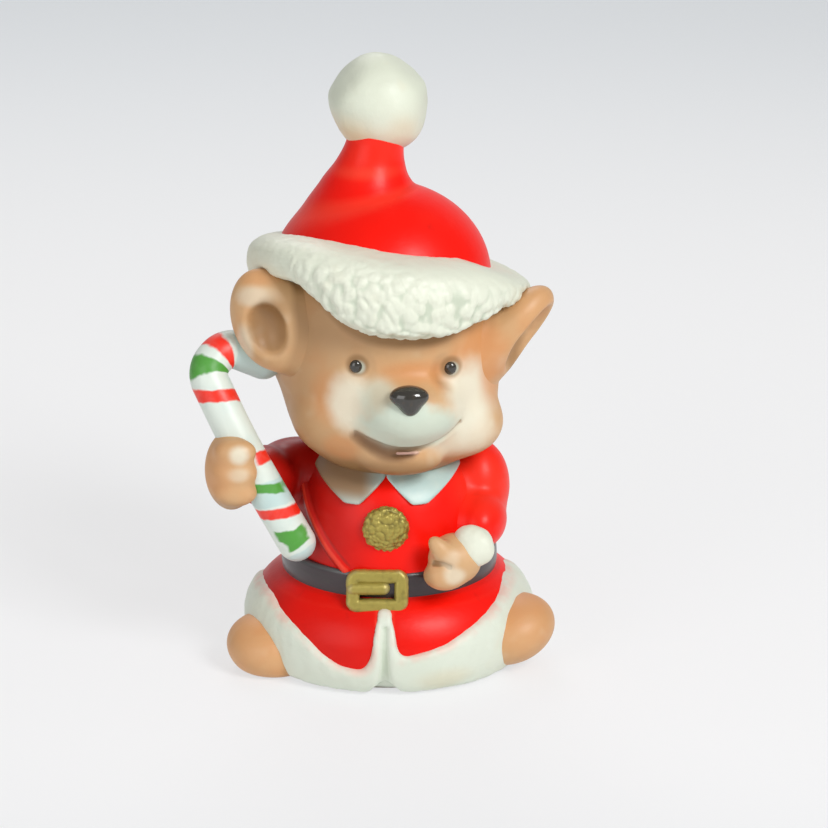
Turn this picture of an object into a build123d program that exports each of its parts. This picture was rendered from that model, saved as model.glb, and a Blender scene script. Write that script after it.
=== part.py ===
"""A slip-cast porcelain mouse figurine in a fur-trimmed red coat and hat, holding a candy cane.

All lengths are millimetres and all angles are degrees. +Z is up, the figure faces -Y, and its own
left hand is on +X. The origin is on the flat underside, in the middle of the coat's bell.

A figurine of this kind is cast in sections that are joined with slip before it is fired. Each section
here is one solid that is cut to the shape of what it is joined to, so neighbours meet face to face.
"""

from build123d import *
import math
import os

# Casting
wall = 2.6
base_thickness = 3.0
vent_radius = 4.0
vent_setback = 9.0
neck_vent_radius = 3.5
tip_vent_radius = 1.5
overrun = 1.0

# Coat skirt, a bell that is widest a little above its hem
skirt_height = 18.5
bell_half_width = 25.0
bell_half_depth = 23.4
coat_setback = -1.0
# Each row is a height as a share of skirt_height, then a half size as a share of the bell's
skirt_section_shares = (
    (0.00, 0.915),
    (0.19, 0.985),
    (0.43, 1.000),
    (0.64, 0.950),
    (0.78, 0.870),
    (0.88, 0.780),
    (1.00, 0.700),
)

# Front opening of the skirt
notch_radius = 3.0
notch_height = 13.6
notch_offset = -0.6
notch_taper_shares = ((0.00, 1.00), (0.20, 0.62), (0.50, 0.34), (1.00, 0.14))

# Fur hem
hem_height = 5.6
fur_proud = 0.7
fur_over_feet = (4.5, 6.5)
fur_edge_radius = 1.9

# Coat bodice
bodice_height = 22.5
chest_half_width = 17.3
chest_half_depth = 17.6
# Each row is a height as a share of bodice_height, then a half size as a share of the chest's
bodice_section_shares = (
    (0.00, 0.950),
    (0.10, 1.000),
    (0.32, 1.000),
    (0.54, 0.955),
    (0.72, 0.850),
    (0.86, 0.660),
    (1.00, 0.460),
)

# Belt and buckle
belt_height = 3.4
belt_thickness = 1.2
buckle_width = 10.8
buckle_height = 7.0
buckle_bar = 1.9
buckle_depth = 2.4
buckle_corner = 1.5
buckle_offset = -1.7
buckle_lean = 12.0
prong_length = 5.2
prong_radius = 1.0
prong_rise = 0.5
prong_sink = 0.4

# Chest button
button_radius = 4.2
button_dome = 1.9
button_offset = -0.4
button_height_share = 0.48

# Collar
collar_thickness = 0.9
collar_edge_share = 0.83
collar_lean = 6.0
collar_lobe_width = 12.0
collar_lobe_drop = 4.6
collar_tip_radius = 2.2
# The lobe's corners beyond the V, as shares of collar_lobe_width out and of collar_lobe_drop up
collar_lobe_shares = ((0.00, 0.0), (0.48, -1.0), (1.05, 0.1), (1.25, 2.2), (0.00, 2.2))

# Head
cranium_half_width = 21.4
cranium_half_depth = 19.4
cranium_half_height = 17.4
# The cranium's middle above the top of the coat, which reaches into the jaw
head_rise = 17.0
head_height = skirt_height + bodice_height + head_rise
head_offset = 0.4
jaw_half_width = 17.4
jaw_half_depth = 16.4
jaw_half_height = 13.0
jaw_drop = 10.5
jaw_offset = 1.5
jaw_forward = 4.0
snout_half_width = 8.8
snout_half_depth = 8.6
snout_half_height = 6.4
snout_offset = 3.2
snout_forward_share = 0.72
snout_drop = 8.0
cheek_half_sizes = (7.4, 7.0, 6.2)
cheek_place_shares = ((-0.38, -0.55, -0.62), (0.56, -0.52, -0.62))

# Face
eye_radius = 1.35
eye_half_spacing = 7.9
eye_drop = 1.0
face_offset = 2.3
nose_half_width = 3.3
nose_half_height = 2.6
nose_half_depth = 2.2
nose_rise_share = 0.50

# Ears, as cups in front of the hat's band
ear_half_width = 6.6
ear_half_height = 8.8
ear_half_depth = 3.6
ear_rim = 1.8
ear_place_shares = ((-0.90, -0.52, 0.25), (0.97, -0.10, 0.04))
ear_turns = ((0.0, 12.0, -8.0), (0.0, 34.0, 58.0))
ear_cup_forward_share = 0.9

# Hat
hat_seat_share = 0.52
crown_half_width = 18.6
crown_half_depth = 17.8
crown_half_height = 13.6
crown_rise = 10.6
# Each row is a height as a share of tip_height, a shift to the side and back, and a radius, as shares
# of tip_base_radius
tip_height = 16.4
tip_base_radius = 12.0
tip_rise = 17.6
tip_section_shares = (
    (0.00, -0.30, 0.06, 1.22),
    (0.35, -0.34, 0.10, 0.88),
    (0.58, -0.35, 0.15, 0.64),
    (0.79, -0.28, 0.20, 0.48),
    (1.00, -0.19, 0.25, 0.41),
)
pompom_radius = 8.6
pompom_sink = 2.0
band_half_width = 25.0
band_half_depth = 24.6
band_half_height = 5.3
band_rise = 10.4
band_turn = (-5.0, 8.0, 0.0)
# The roll is fuller over the forehead: its top leans back by this angle and its underside forwards
band_flare = 4.5
# Each row is a height as a share of band_half_height, then a half size as a share of the band's
band_section_shares = (
    (-1.00, 0.80),
    (-0.85, 0.92),
    (-0.45, 0.985),
    (0.05, 1.00),
    (0.50, 0.965),
    (0.82, 0.86),
    (1.00, 0.70),
)

# Arms
left_sleeve_half_sizes = (5.6, 6.6, 8.2)
left_sleeve_place_shares = (0.90, -0.02, 0.56)
left_forearm_half_sizes = (4.9, 7.6, 5.2)
left_forearm_shift_shares = (0.02, -0.95, -0.50)
right_sleeve_half_sizes = (8.2, 6.6, 6.2)
right_sleeve_place_shares = (-0.93, 0.02, 0.64)
right_forearm_half_sizes = (5.4, 6.8, 5.2)
right_forearm_shift_shares = (-0.66, -0.85, 0.20)
cuff_half_sizes = (3.9, 3.0, 3.7)
left_cuff_shift_shares = (-0.06, -1.15, -0.38)
left_cuff_turn = (0.0, 0.0, -30.0)
right_cuff_shift_shares = (-0.42, -0.62, 0.20)
right_cuff_turn = (0.0, 0.0, -36.0)

# Paws
left_paw_half_sizes = (4.6, 4.6, 4.4)
left_paw_shift_shares = (-0.95, -0.75, -0.45)
left_paw_finger_shares = (-0.45, -0.40, -0.50)
left_paw_finger_half_sizes = (3.6, 2.8, 2.6)
thumb_half_sizes = (1.7, 1.7, 3.4)
thumb_place_shares = (-0.50, -0.55, 0.50)
thumb_turn = (0.0, -40.0, 0.0)
right_paw_half_sizes = (4.4, 5.0, 6.2)
right_paw_shift_shares = (-0.70, -1.35, 0.65)
grip_finger_half_sizes = (3.6, 2.2, 1.9)
grip_finger_place_shares = (0.30, -0.80, 0.15)
grip_finger_spacing = 3.5
grip_finger_count = 3

# Candy cane
cane_radius = 3.3
cane_rise = 33.0
# The foot's place as shares of the chest's half sizes, and how far the crook's top lies below the middle
# of the right ear, as a share of ear_half_height
cane_foot_shares = (-0.91, -0.82)
cane_drop_share = 0.466
# Each corner of the route lies out to the side and back from the straight line that leads from the foot
# to the ear, and above the foot, as shares of cane_rise
cane_route_shares = (
    (0.000, 0.000, 0.00),
    (-0.232, -0.052, 0.51),
    (-0.386, 0.006, 0.89),
    (-0.268, 0.066, 1.00),
    (-0.044, 0.157, 0.88),
)
cane_bend_share = 0.45

# Feet
foot_half_sizes = (7.0, 7.4, 6.2)
foot_place_shares = ((-0.83, -0.37, 0.62), (0.92, -0.19, 0.88))


def ellipsoid(centre, half_sizes, turn=(0.0, 0.0, 0.0), grow=0.0, poles=(0.0, 0.0, 0.0)):
    """A solid ellipsoid, turned about its own centre and grown all round.

    Its surface has its poles at the top and bottom, or is turned to have them where nothing is cut.
    """
    stretched = scale(Rot(*poles) * Sphere(1), by=tuple(size + grow for size in half_sizes))
    return Pos(*centre) * Rot(*turn) * stretched


def moved(centre, shares, sizes):
    """A place that lies shares of sizes away from centre."""
    return tuple(c + share * size for c, share, size in zip(centre, shares, sizes))


def slab(low, high, half_width=4 * bell_half_width):
    """Everything between two heights, for cutting."""
    box = Box(2 * half_width, 2 * half_width, high - low, align=(Align.CENTER, Align.CENTER, Align.MIN))
    return Pos(0, 0, low) * box


def front_of(form, across, height):
    """The y of the front surface of a form at one place across and one height."""
    reach = 4 * bell_half_depth
    hits = form.find_intersection_points(Axis((across, -reach, height), (0, 1, 0)))
    return min(point.Y for point, normal in hits)


def largest(form):
    """The largest solid of a form, which drops the crumbs that a cut can leave."""
    return max(form.solids(), key=lambda solid: solid.volume)


def cut(form, *neighbours):
    """What is left of a form once its neighbours have been taken out of it."""
    for neighbour in neighbours:
        form -= neighbour
    return largest(form)


def bell(low, height, half_width, half_depth, section_shares, grow=0.0):
    """A smooth stack of ellipses, from low upwards."""
    sections = []
    for height_share, size_share in section_shares:
        outline = Ellipse(half_width * size_share + grow, half_depth * size_share + grow)
        sections.append(Pos(0, coat_setback, low + height * height_share) * outline)
    return loft(sections)


def skirt_form(grow=0.0):
    return bell(0, skirt_height, bell_half_width, bell_half_depth, skirt_section_shares, grow)


def bodice_form(grow=0.0):
    return bell(
        skirt_height, bodice_height, chest_half_width, chest_half_depth, bodice_section_shares, grow
    )


# Tables of pairs hold the figure's right side first and its left side second
right, left = sides = (0, 1)
outward = (-1, 1)
poles_forward = (90.0, 0.0, 0.0)

# Places that several pieces share
cranium_centre = (head_offset, 0.0, head_height)
cranium_half_sizes = (cranium_half_width, cranium_half_depth, cranium_half_height)
jaw_centre = (head_offset + jaw_offset, -jaw_forward, head_height - jaw_drop)
jaw_half_sizes = (jaw_half_width, jaw_half_depth, jaw_half_height)
snout_centre = (
    head_offset + snout_offset,
    -jaw_forward - snout_forward_share * jaw_half_depth,
    head_height - snout_drop,
)
snout_half_sizes = (snout_half_width, snout_half_depth, snout_half_height)
hat_seat = head_height + hat_seat_share * cranium_half_height
crown_centre = (head_offset, 0.0, head_height + crown_rise)
chest_centre = (0.0, coat_setback, skirt_height)
chest_sizes = (chest_half_width, chest_half_depth, bodice_height)


def head_form(grow=0.0):
    """The whole outside of the head: cranium, jaw, snout and two cheeks."""
    form = ellipsoid(cranium_centre, cranium_half_sizes, grow=grow)
    form += ellipsoid(jaw_centre, jaw_half_sizes, grow=grow)
    if grow < 0:
        return form
    form += ellipsoid(snout_centre, snout_half_sizes, grow=grow)
    for shares in cheek_place_shares:
        form += ellipsoid(moved(cranium_centre, shares, cranium_half_sizes), cheek_half_sizes, grow=grow)
    return form


def crown_form(grow=0.0):
    """The hat's dome with its bent tip."""
    dome = ellipsoid(crown_centre, (crown_half_width, crown_half_depth, crown_half_height), grow=grow)
    return dome + tip_form(grow)


def tip_centre(height_share, side_share, back_share):
    """A point on the middle line of the hat's tip."""
    return (
        head_offset + side_share * tip_base_radius,
        back_share * tip_base_radius,
        head_height + tip_rise + height_share * tip_height,
    )


def tip_form(grow=0.0):
    """The hat's tapering tip."""
    rings = []
    for height_share, side_share, back_share, radius_share in tip_section_shares:
        ring = Circle(radius_share * tip_base_radius + grow)
        rings.append(Pos(*tip_centre(height_share, side_share, back_share)) * ring)
    return loft(rings)


def band_form():
    """The thick fur roll round the hat, before it is seated on the head and the crown."""
    sections = []
    for height_share, size_share in band_section_shares:
        outline = Ellipse(size_share * band_half_width, size_share * band_half_depth)
        lean = Rot(-height_share * band_flare, 0, 0)
        sections.append(Pos(0, 0, height_share * band_half_height) * lean * outline)
    return Pos(head_offset, 0, head_height + band_rise) * Rot(*band_turn) * loft(sections)


def notch_form(grow=0.0):
    """The V between the coat's two front flaps, narrowing upwards."""
    rings = []
    for height_share, radius_share in notch_taper_shares:
        height = height_share * notch_height
        front = front_of(skirt_outside, notch_offset, max(height, base_thickness))
        rings.append(Pos(notch_offset, front, height) * Circle(radius_share * notch_radius + grow))
    return loft(rings)


head_outside = head_form()
skirt_outside = skirt_form()
bodice_outside = bodice_form()
crown_outside = crown_form()
band_outside = band_form()


def foot_form(side, grow=0.0):
    place_sizes = (bell_half_width, bell_half_depth, foot_half_sizes[2])
    centre = moved((0.0, coat_setback, 0.0), foot_place_shares[side], place_sizes)
    return ellipsoid(centre, foot_half_sizes, grow=grow)


def fur_region():
    """Where the skirt is fur: along the hem, over both feet and up the front edges."""
    region = slab(-overrun, hem_height)
    for side in sides:
        region += foot_form(side, fur_over_feet[side])
    return region + notch_form(fur_edge_radius)


fur_outside = skirt_form(fur_proud)
skirt_inside = skirt_form(-wall)
fur_where = fur_region()


def ear_centre(side):
    return moved(cranium_centre, ear_place_shares[side], cranium_half_sizes)


def ear_form(side):
    """An ear's whole egg, before its cup is scooped out."""
    half_sizes = (ear_half_width, ear_half_depth, ear_half_height)
    return ellipsoid(ear_centre(side), half_sizes, ear_turns[side], poles=poles_forward)


def ear_cup(side):
    """The hollow in the front of an ear."""
    forward = (0.0, -ear_cup_forward_share * ear_half_depth, 0.0)
    half_sizes = (ear_half_width - ear_rim, ear_half_depth, ear_half_height - ear_rim)
    cup = ellipsoid(forward, half_sizes, poles=poles_forward)
    return Pos(*ear_centre(side)) * Rot(*ear_turns[side]) * cup


right_sleeve_centre = moved(chest_centre, right_sleeve_place_shares, chest_sizes)
left_sleeve_centre = moved(chest_centre, left_sleeve_place_shares, chest_sizes)
right_forearm_centre = moved(right_sleeve_centre, right_forearm_shift_shares, right_sleeve_half_sizes)
left_forearm_centre = moved(left_sleeve_centre, left_forearm_shift_shares, left_sleeve_half_sizes)
right_cuff_centre = moved(right_forearm_centre, right_cuff_shift_shares, right_forearm_half_sizes)
left_cuff_centre = moved(left_forearm_centre, left_cuff_shift_shares, left_forearm_half_sizes)
right_paw_centre = moved(right_cuff_centre, right_paw_shift_shares, cuff_half_sizes)
left_paw_centre = moved(left_cuff_centre, left_paw_shift_shares, cuff_half_sizes)

# An upper sleeve and a forearm on each side
sleeve_forms = (
    (
        ellipsoid(right_sleeve_centre, right_sleeve_half_sizes),
        ellipsoid(right_forearm_centre, right_forearm_half_sizes, poles=poles_forward),
    ),
    (
        ellipsoid(left_sleeve_centre, left_sleeve_half_sizes),
        ellipsoid(left_forearm_centre, left_forearm_half_sizes, poles=poles_forward),
    ),
)
cuff_forms = (
    ellipsoid(right_cuff_centre, cuff_half_sizes, right_cuff_turn),
    ellipsoid(left_cuff_centre, cuff_half_sizes, left_cuff_turn),
)


def cane_form():
    """A round stick with a crook, from the front of the coat to behind the right ear."""
    foot_x, foot_y = moved(chest_centre, cane_foot_shares, chest_sizes)
    ear_x, ear_y, ear_z = ear_centre(right)
    foot = Vector(foot_x, foot_y, ear_z - cane_drop_share * ear_half_height - cane_rise)
    lean = Vector(ear_x - foot_x, ear_y - foot_y)
    corners = [
        foot + lean * up_share + Vector(side_share, back_share, up_share) * cane_rise
        for side_share, back_share, up_share in cane_route_shares
    ]
    bends = []
    for before, corner, after in zip(corners, corners[1:], corners[2:]):
        run_in = corner - before
        run_out = after - corner
        half_turn = math.radians(run_in.get_angle(run_out) / 2)
        bends.append(cane_bend_share * min(run_in.length, run_out.length) / math.tan(half_turn))
    route = FilletPolyline(*corners, radius=bends)
    stick = sweep(Plane(origin=route @ 0, z_dir=route % 0) * Circle(cane_radius), path=route)
    return stick + Pos(*foot) * Sphere(cane_radius)


cane_outside = cane_form()
pompom_centre = moved(tip_centre(*tip_section_shares[-1][:3]), (0, 0, 1), (0, 0, pompom_radius - pompom_sink))
belt_outside = Pos(0, coat_setback, skirt_height - belt_height / 2) * extrude(
    Ellipse(
        bell_half_width * skirt_section_shares[-1][1] + belt_thickness,
        bell_half_depth * skirt_section_shares[-1][1] + belt_thickness,
    ),
    belt_height,
)


def base_slab():
    """The flat underside, with the hole that drains the slip and vents the hollow in the kiln."""
    vent = Pos(0, vent_setback, 0) * Cylinder(vent_radius, 4 * base_thickness)
    return (skirt_inside & slab(0, base_thickness)) - vent


def coat_skirt():
    return cut(skirt_outside, skirt_inside, fur_where)


def hem_fur():
    return cut(fur_outside & fur_where, skirt_inside, notch_form(), slab(-2 * overrun, 0), belt_outside)


def coat_bodice():
    return cut(bodice_outside, bodice_form(-wall), head_outside)


def belt():
    return cut(belt_outside, skirt_outside, bodice_outside)


def buckle_plane():
    """Where the buckle lies: on the belt's front, leaning back at its top."""
    front = front_of(belt_outside, buckle_offset, skirt_height) - buckle_depth / 2
    middle = (buckle_offset, front, skirt_height)
    return Plane(origin=middle, x_dir=(1, 0, 0), z_dir=(0, -1, 0)) * Rot(buckle_lean, 0, 0)


def buckle_frame():
    """A square frame with rounded corners, its back cut to the belt and the coat."""
    outline = RectangleRounded(buckle_width, buckle_height, buckle_corner)
    outline -= Rectangle(buckle_width - 2 * buckle_bar, buckle_height - 2 * buckle_bar)
    frame = extrude(outline, buckle_depth / 2) + extrude(outline, -2 * buckle_depth)
    return cut(buckle_plane() * frame, belt_outside, skirt_outside, bodice_outside)


def buckle_prong():
    """The tongue, lying across the frame's window from its right-hand bar."""
    start = buckle_bar - buckle_width / 2
    outline = Pos(start + prong_length / 2, prong_rise) * SlotOverall(prong_length, 2 * prong_radius)
    outline += Pos(start + prong_radius / 2, prong_rise) * Rectangle(prong_radius, 2 * prong_radius)
    prong = extrude(outline, buckle_depth / 2 - prong_sink) + extrude(outline, -2 * buckle_depth)
    return cut(buckle_plane() * prong, belt_outside, skirt_outside, bodice_outside)


def chest_button():
    height = skirt_height + button_height_share * bodice_height
    front = front_of(bodice_outside, button_offset, height)
    dome = ellipsoid((button_offset, front, height), (button_radius, button_dome, button_radius))
    return cut(dome, bodice_outside)


def collar_region(side):
    """One pointed half of the collar and its band round the back, as a block to cut the collar from."""
    edge = skirt_height + collar_edge_share * bodice_height
    corners = [
        (button_offset + outward[side] * across * collar_lobe_width, edge + up * collar_lobe_drop)
        for across, up in collar_lobe_shares
    ]
    outline = make_face(Polyline(*corners, close=True))
    tip = outline.vertices().sort_by(Axis.Y)[0]
    lobe = extrude(Plane.XZ * fillet(tip, collar_tip_radius), 2 * chest_half_depth)
    reach = 2 * chest_half_width
    inner_end = Align.MIN if side == left else Align.MAX
    band = Box(reach, 2 * reach, reach, align=(inner_end, Align.CENTER, Align.MIN))
    return lobe + Pos(button_offset, -chest_half_depth, edge) * Rot(-collar_lean, 0, 0) * band


collar_outsides = [bodice_form(collar_thickness) & collar_region(side) for side in sides]


def collar(side):
    return cut(collar_outsides[side], bodice_outside, head_outside)


def head_shell():
    """The hollow head up to the hat's seat, with a vent through the neck."""
    vent = Cylinder(neck_vent_radius, jaw_half_height)
    vent = Pos(head_offset, 0, head_height - cranium_half_height - wall) * vent
    return cut(head_outside & slab(-overrun, hat_seat), head_form(-wall), vent)


def hat_crown():
    """The hollow hat above the head, open at its seat and at its tip."""
    return cut(crown_outside & slab(hat_seat, 2 * hat_seat), crown_form(-wall))


def hat_band():
    return cut(band_outside, head_outside, crown_outside, ear_form(right), ear_form(left))


def hat_pompom():
    """A hollow ball on the hat's tip, vented into it."""
    vent = Cylinder(tip_vent_radius, pompom_radius, align=(Align.CENTER, Align.CENTER, Align.MAX))
    ball = Sphere(pompom_radius) - Sphere(pompom_radius - wall) - vent
    return cut(Pos(*pompom_centre) * ball, tip_form())


def ear(side):
    return cut(ear_form(side), ear_cup(side), head_outside, crown_outside)


def dome_on_face(across, height, half_sizes):
    """A rounded lump set into the front of the head."""
    centre = (across, front_of(head_outside, across, height), height)
    return cut(ellipsoid(centre, half_sizes), head_outside)


def eye(side):
    across = head_offset + face_offset + outward[side] * eye_half_spacing
    return dome_on_face(across, head_height - eye_drop, (eye_radius,) * 3)


def nose():
    across, _, height = moved(snout_centre, (0.0, 0.0, nose_rise_share), snout_half_sizes)
    return dome_on_face(across, height, (nose_half_width, nose_half_depth, nose_half_height))


def sleeve(side):
    upper, forearm = sleeve_forms[side]
    return cut(upper + forearm, bodice_outside, head_outside, collar_outsides[side])


def cuff(side):
    return cut(cuff_forms[side], *sleeve_forms[side], bodice_outside, cane_outside)


def paw_right():
    """A fist round the candy cane, its fingertips in front of the stick."""
    fist = ellipsoid(right_paw_centre, right_paw_half_sizes, poles=poles_forward)
    middle = moved(right_paw_centre, grip_finger_place_shares, right_paw_half_sizes)
    for number in range(grip_finger_count):
        rise = (number - (grip_finger_count - 1) / 2) * grip_finger_spacing
        fist += Pos(0, 0, rise) * ellipsoid(middle, grip_finger_half_sizes, poles=poles_forward)
    return cut(fist, cane_outside, cuff_forms[right], *sleeve_forms[right])


def paw_left():
    """A mitten hand resting on the coat's front, its thumb upwards."""
    hand = ellipsoid(left_paw_centre, left_paw_half_sizes, poles=poles_forward)
    finger_centre = moved(left_paw_centre, left_paw_finger_shares, left_paw_half_sizes)
    thumb_centre = moved(left_paw_centre, thumb_place_shares, left_paw_half_sizes)
    hand += ellipsoid(finger_centre, left_paw_finger_half_sizes, poles=poles_forward)
    hand += ellipsoid(thumb_centre, thumb_half_sizes, thumb_turn, poles=poles_forward)
    neighbours = (*sleeve_forms[left], bodice_outside, belt_outside, skirt_outside)
    return cut(hand, cuff_forms[left], *neighbours)


def candy_cane():
    """The stick, laid into the coat, the sleeve and the back of the ear."""
    below = (skirt_outside, belt_outside, bodice_outside, collar_outsides[right])
    above = (ear_form(right), head_outside, band_outside)
    return cut(cane_outside, *below, *sleeve_forms[right], *above)


def foot(side):
    return cut(foot_form(side) & slab(0, 2 * skirt_height), fur_outside)


pieces = {
    "base_slab": base_slab(),
    "coat_skirt": coat_skirt(),
    "hem_fur": hem_fur(),
    "coat_bodice": coat_bodice(),
    "belt": belt(),
    "buckle_frame": buckle_frame(),
    "buckle_prong": buckle_prong(),
    "chest_button": chest_button(),
    "head_shell": head_shell(),
    "nose": nose(),
    "hat_crown": hat_crown(),
    "hat_band": hat_band(),
    "hat_pompom": hat_pompom(),
    "candy_cane": candy_cane(),
    "paw_right": paw_right(),
    "paw_left": paw_left(),
}
for side, name in ((right, "right"), (left, "left")):
    pieces["collar_" + name] = collar(side)
    pieces["ear_" + name] = ear(side)
    pieces["eye_" + name] = eye(side)
    pieces["sleeve_" + name] = sleeve(side)
    pieces["cuff_" + name] = cuff(side)
    pieces["foot_" + name] = foot(side)

os.makedirs("parts", exist_ok=True)
for name, solid in pieces.items():
    export_step(solid, f"parts/{name}.step")
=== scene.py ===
"""The painted finish of a fired porcelain mouse figurine, sculpted round its CAD frame.

Every piece is cast as a closed mesh from smooth distance fields, then painted with procedural materials.
Shapes are worked out in millimetres in the figurine's own frame: +Z is up, it faces -Y, and its own left
hand is on +X. Blender's own values are in metres.
"""

import functools
import math

import bpy
import numpy as np
from bpy.props import FloatProperty, FloatVectorProperty, IntProperty, PointerProperty
from bpy.types import Operator, Panel, PropertyGroup
from mathutils import Matrix, Vector


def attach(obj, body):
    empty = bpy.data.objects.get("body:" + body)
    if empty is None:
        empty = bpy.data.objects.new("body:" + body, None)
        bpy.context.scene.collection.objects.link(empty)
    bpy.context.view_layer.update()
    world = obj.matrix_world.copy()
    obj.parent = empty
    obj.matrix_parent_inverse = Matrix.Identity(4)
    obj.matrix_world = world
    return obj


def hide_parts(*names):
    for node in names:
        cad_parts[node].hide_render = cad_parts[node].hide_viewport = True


bl_info = {
    "name": "Porcelain Mouse Figurine",
    "version": (1, 0, 0),
    "blender": (4, 5, 0),
    "location": "View3D > Sidebar > Figurine",
    "description": "Sculpts and paints a porcelain mouse in a fur-trimmed red coat, with a candy cane",
    "category": "Object",
}

MM = 0.001
RIGHT, LEFT = SIDES = ("right", "left")
OUTWARD = {RIGHT: -1, LEFT: 1}

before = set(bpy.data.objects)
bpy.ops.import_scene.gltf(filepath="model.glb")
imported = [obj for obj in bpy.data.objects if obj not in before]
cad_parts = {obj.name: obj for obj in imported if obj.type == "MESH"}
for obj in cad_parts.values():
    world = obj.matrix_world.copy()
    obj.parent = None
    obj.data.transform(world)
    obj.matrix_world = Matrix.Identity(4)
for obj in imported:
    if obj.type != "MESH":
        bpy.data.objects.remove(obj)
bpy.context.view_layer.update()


# Properties that a user would change

def length(name, description, millimetres):
    return FloatProperty(name=name, description=description, default=millimetres * MM, unit="LENGTH")


def point(name, description, millimetres):
    metres = [value * MM for value in millimetres]
    return FloatVectorProperty(name=name, description=description, default=metres, unit="LENGTH")


def middle(part, millimetres):
    return point(f"{part}, middle", f"Where the middle of the {part.lower()} is", millimetres)


def seen_middle(part, millimetres):
    """A middle whose depth is found on the form behind it, so only across and up are read."""
    return point(f"{part}, middle", f"Where the {part.lower()} is, seen from the front", millimetres)


def half(part, millimetres):
    words = f"Half the width, depth and height of the {part.lower()}"
    return point(f"{part}, half sizes", words, millimetres)


def turn(part, degrees):
    radians = [math.radians(value) for value in degrees]
    words = f"How the {part.lower()} is turned about its own middle"
    return FloatVectorProperty(name=f"{part}, turn", description=words, default=radians, subtype="EULER")


def colour(name, description, code):
    """A paint's colour, written as a six-figure screen colour and stored as scene-linear."""
    screen = [int(code[i:i + 2], 16) / 255 for i in (0, 2, 4)]
    linear = [value / 12.92 if value <= 0.04045 else ((value + 0.055) / 1.055) ** 2.4 for value in screen]
    limits = {"min": 0, "max": 1}
    return FloatVectorProperty(name=name, description=description, default=linear, subtype="COLOR", **limits)


def mm(value):
    """A stored length or point in millimetres."""
    return value / MM if isinstance(value, float) else np.array(value) / MM


class CoatSizes(PropertyGroup):
    """The coat's bell, its fur hem and its bodice."""

    wall: length("Wall", "Thickness of the cast wall", 2.6)
    setback: length("Setback", "How far behind the face's middle the coat's axis is", 1.0)
    skirt_height: length("Skirt height", "From the table to the belt's middle", 18.5)
    skirt_half: point("Skirt, half sizes", "Half the bell's greatest width and depth", (25.0, 23.4, 0.0))
    bodice_height: length("Bodice height", "From the belt's middle to the neck", 22.5)
    bodice_half: point("Bodice, half sizes", "Half the chest's greatest width and depth", (17.3, 17.6, 0.0))
    fur_proud: length("Fur, proud", "How far the fur stands out from the red coat", 0.9)
    notch_place: length("Notch place", "Where the two front edges meet, across", -0.6)
    notch_height: length("Notch height", "Height of the opening between the front edges", 14.4)
    notch_radius: length("Notch radius", "Half the opening's width at the table", 2.8)
    edge_fur: length("Edge fur", "Width of the fur up each front edge", 2.1)
    foot_right_middle: middle("Right foot", (-20.6, -10.0, 3.84))
    foot_left_middle: middle("Left foot", (21.4, -8.9, 6.6))
    foot_right_turn: turn("Right foot", (0.0, 10.0, 0.0))
    foot_left_turn: turn("Left foot", (0.0, -20.0, 0.0))
    foot_half: half("Foot", (8.0, 8.2, 5.8))


class TrimSizes(PropertyGroup):
    """The collar, the chest button, the belt and its buckle."""

    collar_thickness: length("Collar thickness", "How far the collar stands out from the bodice", 0.9)
    collar_edge: length("Collar edge", "Height of the collar's lower edge at its front", 37.2)
    lobe_width: length("Lobe width", "Width of each pointed half of the collar", 12.0)
    lobe_drop: length("Lobe drop", "How far each half's tip hangs below the V", 4.6)
    button_middle: seen_middle("Button", (-0.4, 0.0, 28.7))
    button_half: half("Button", (3.95, 1.9, 4.2))
    belt_height: length("Belt height", "Width of the strap", 5.2)
    belt_drop: length("Belt drop", "How far the strap's middle sits below the waist", 0.35)
    belt_thickness: length("Belt thickness", "How far the strap stands out from the waist", 1.6)
    buckle_middle: middle("Buckle", (-1.9, -19.0, 17.7))
    buckle_half: half("Buckle", (4.15, 1.2, 2.55))
    buckle_bar: length("Buckle bar", "Half the width of the frame's bars", 1.2)
    buckle_lean: FloatProperty(name="Buckle lean", description="How far its top leans back",
                               default=math.radians(12), subtype="ANGLE")
    tongue_length: length("Tongue length", "Length of the buckle's tongue", 5.2)
    tongue_radius: length("Tongue radius", "Half the tongue's width", 1.0)


class HeadSizes(PropertyGroup):
    """The head, its ears and its face."""

    cranium_middle: middle("Cranium", (-0.3, 0.0, 58.0))
    cranium_half: half("Cranium", (20.8, 19.4, 19.5))
    jaw_middle: middle("Jaw", (0.6, -4.0, 47.6))
    jaw_half: half("Jaw", (18.2, 16.4, 13.2))
    snout_middle: middle("Snout", (3.6, -15.8, 50.0))
    snout_half: half("Snout", (8.8, 8.6, 6.4))
    cheek_right_middle: middle("Right cheek", (-8.8, -10.2, 46.4))
    cheek_left_middle: middle("Left cheek", (12.3, -9.3, 45.4))
    cheek_half: half("Cheek", (7.4, 7.0, 6.2))
    nose_middle: seen_middle("Nose", (3.6, 0.0, 53.2))
    nose_half: half("Nose", (3.3, 2.2, 2.6))
    eye_right_middle: seen_middle("Right eye", (-5.3, 0.0, 57.7))
    eye_left_middle: seen_middle("Left eye", (10.5, 0.0, 56.7))
    eye_half: half("Eye", (1.05, 0.75, 1.15))
    mouth_groove: length("Mouth groove", "Radius of the groove under the upper lip", 0.55)
    ear_right_middle: middle("Right ear", (-20.2, -10.9, 63.7))
    ear_left_middle: middle("Left ear", (21.7, -5.6, 60.6))
    ear_half: half("Ear", (6.5, 4.1, 9.1))
    ear_right_turn: turn("Right ear", (0.0, -14.0, -16.0))
    ear_left_turn: turn("Left ear", (0.0, 38.0, 68.0))


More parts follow.
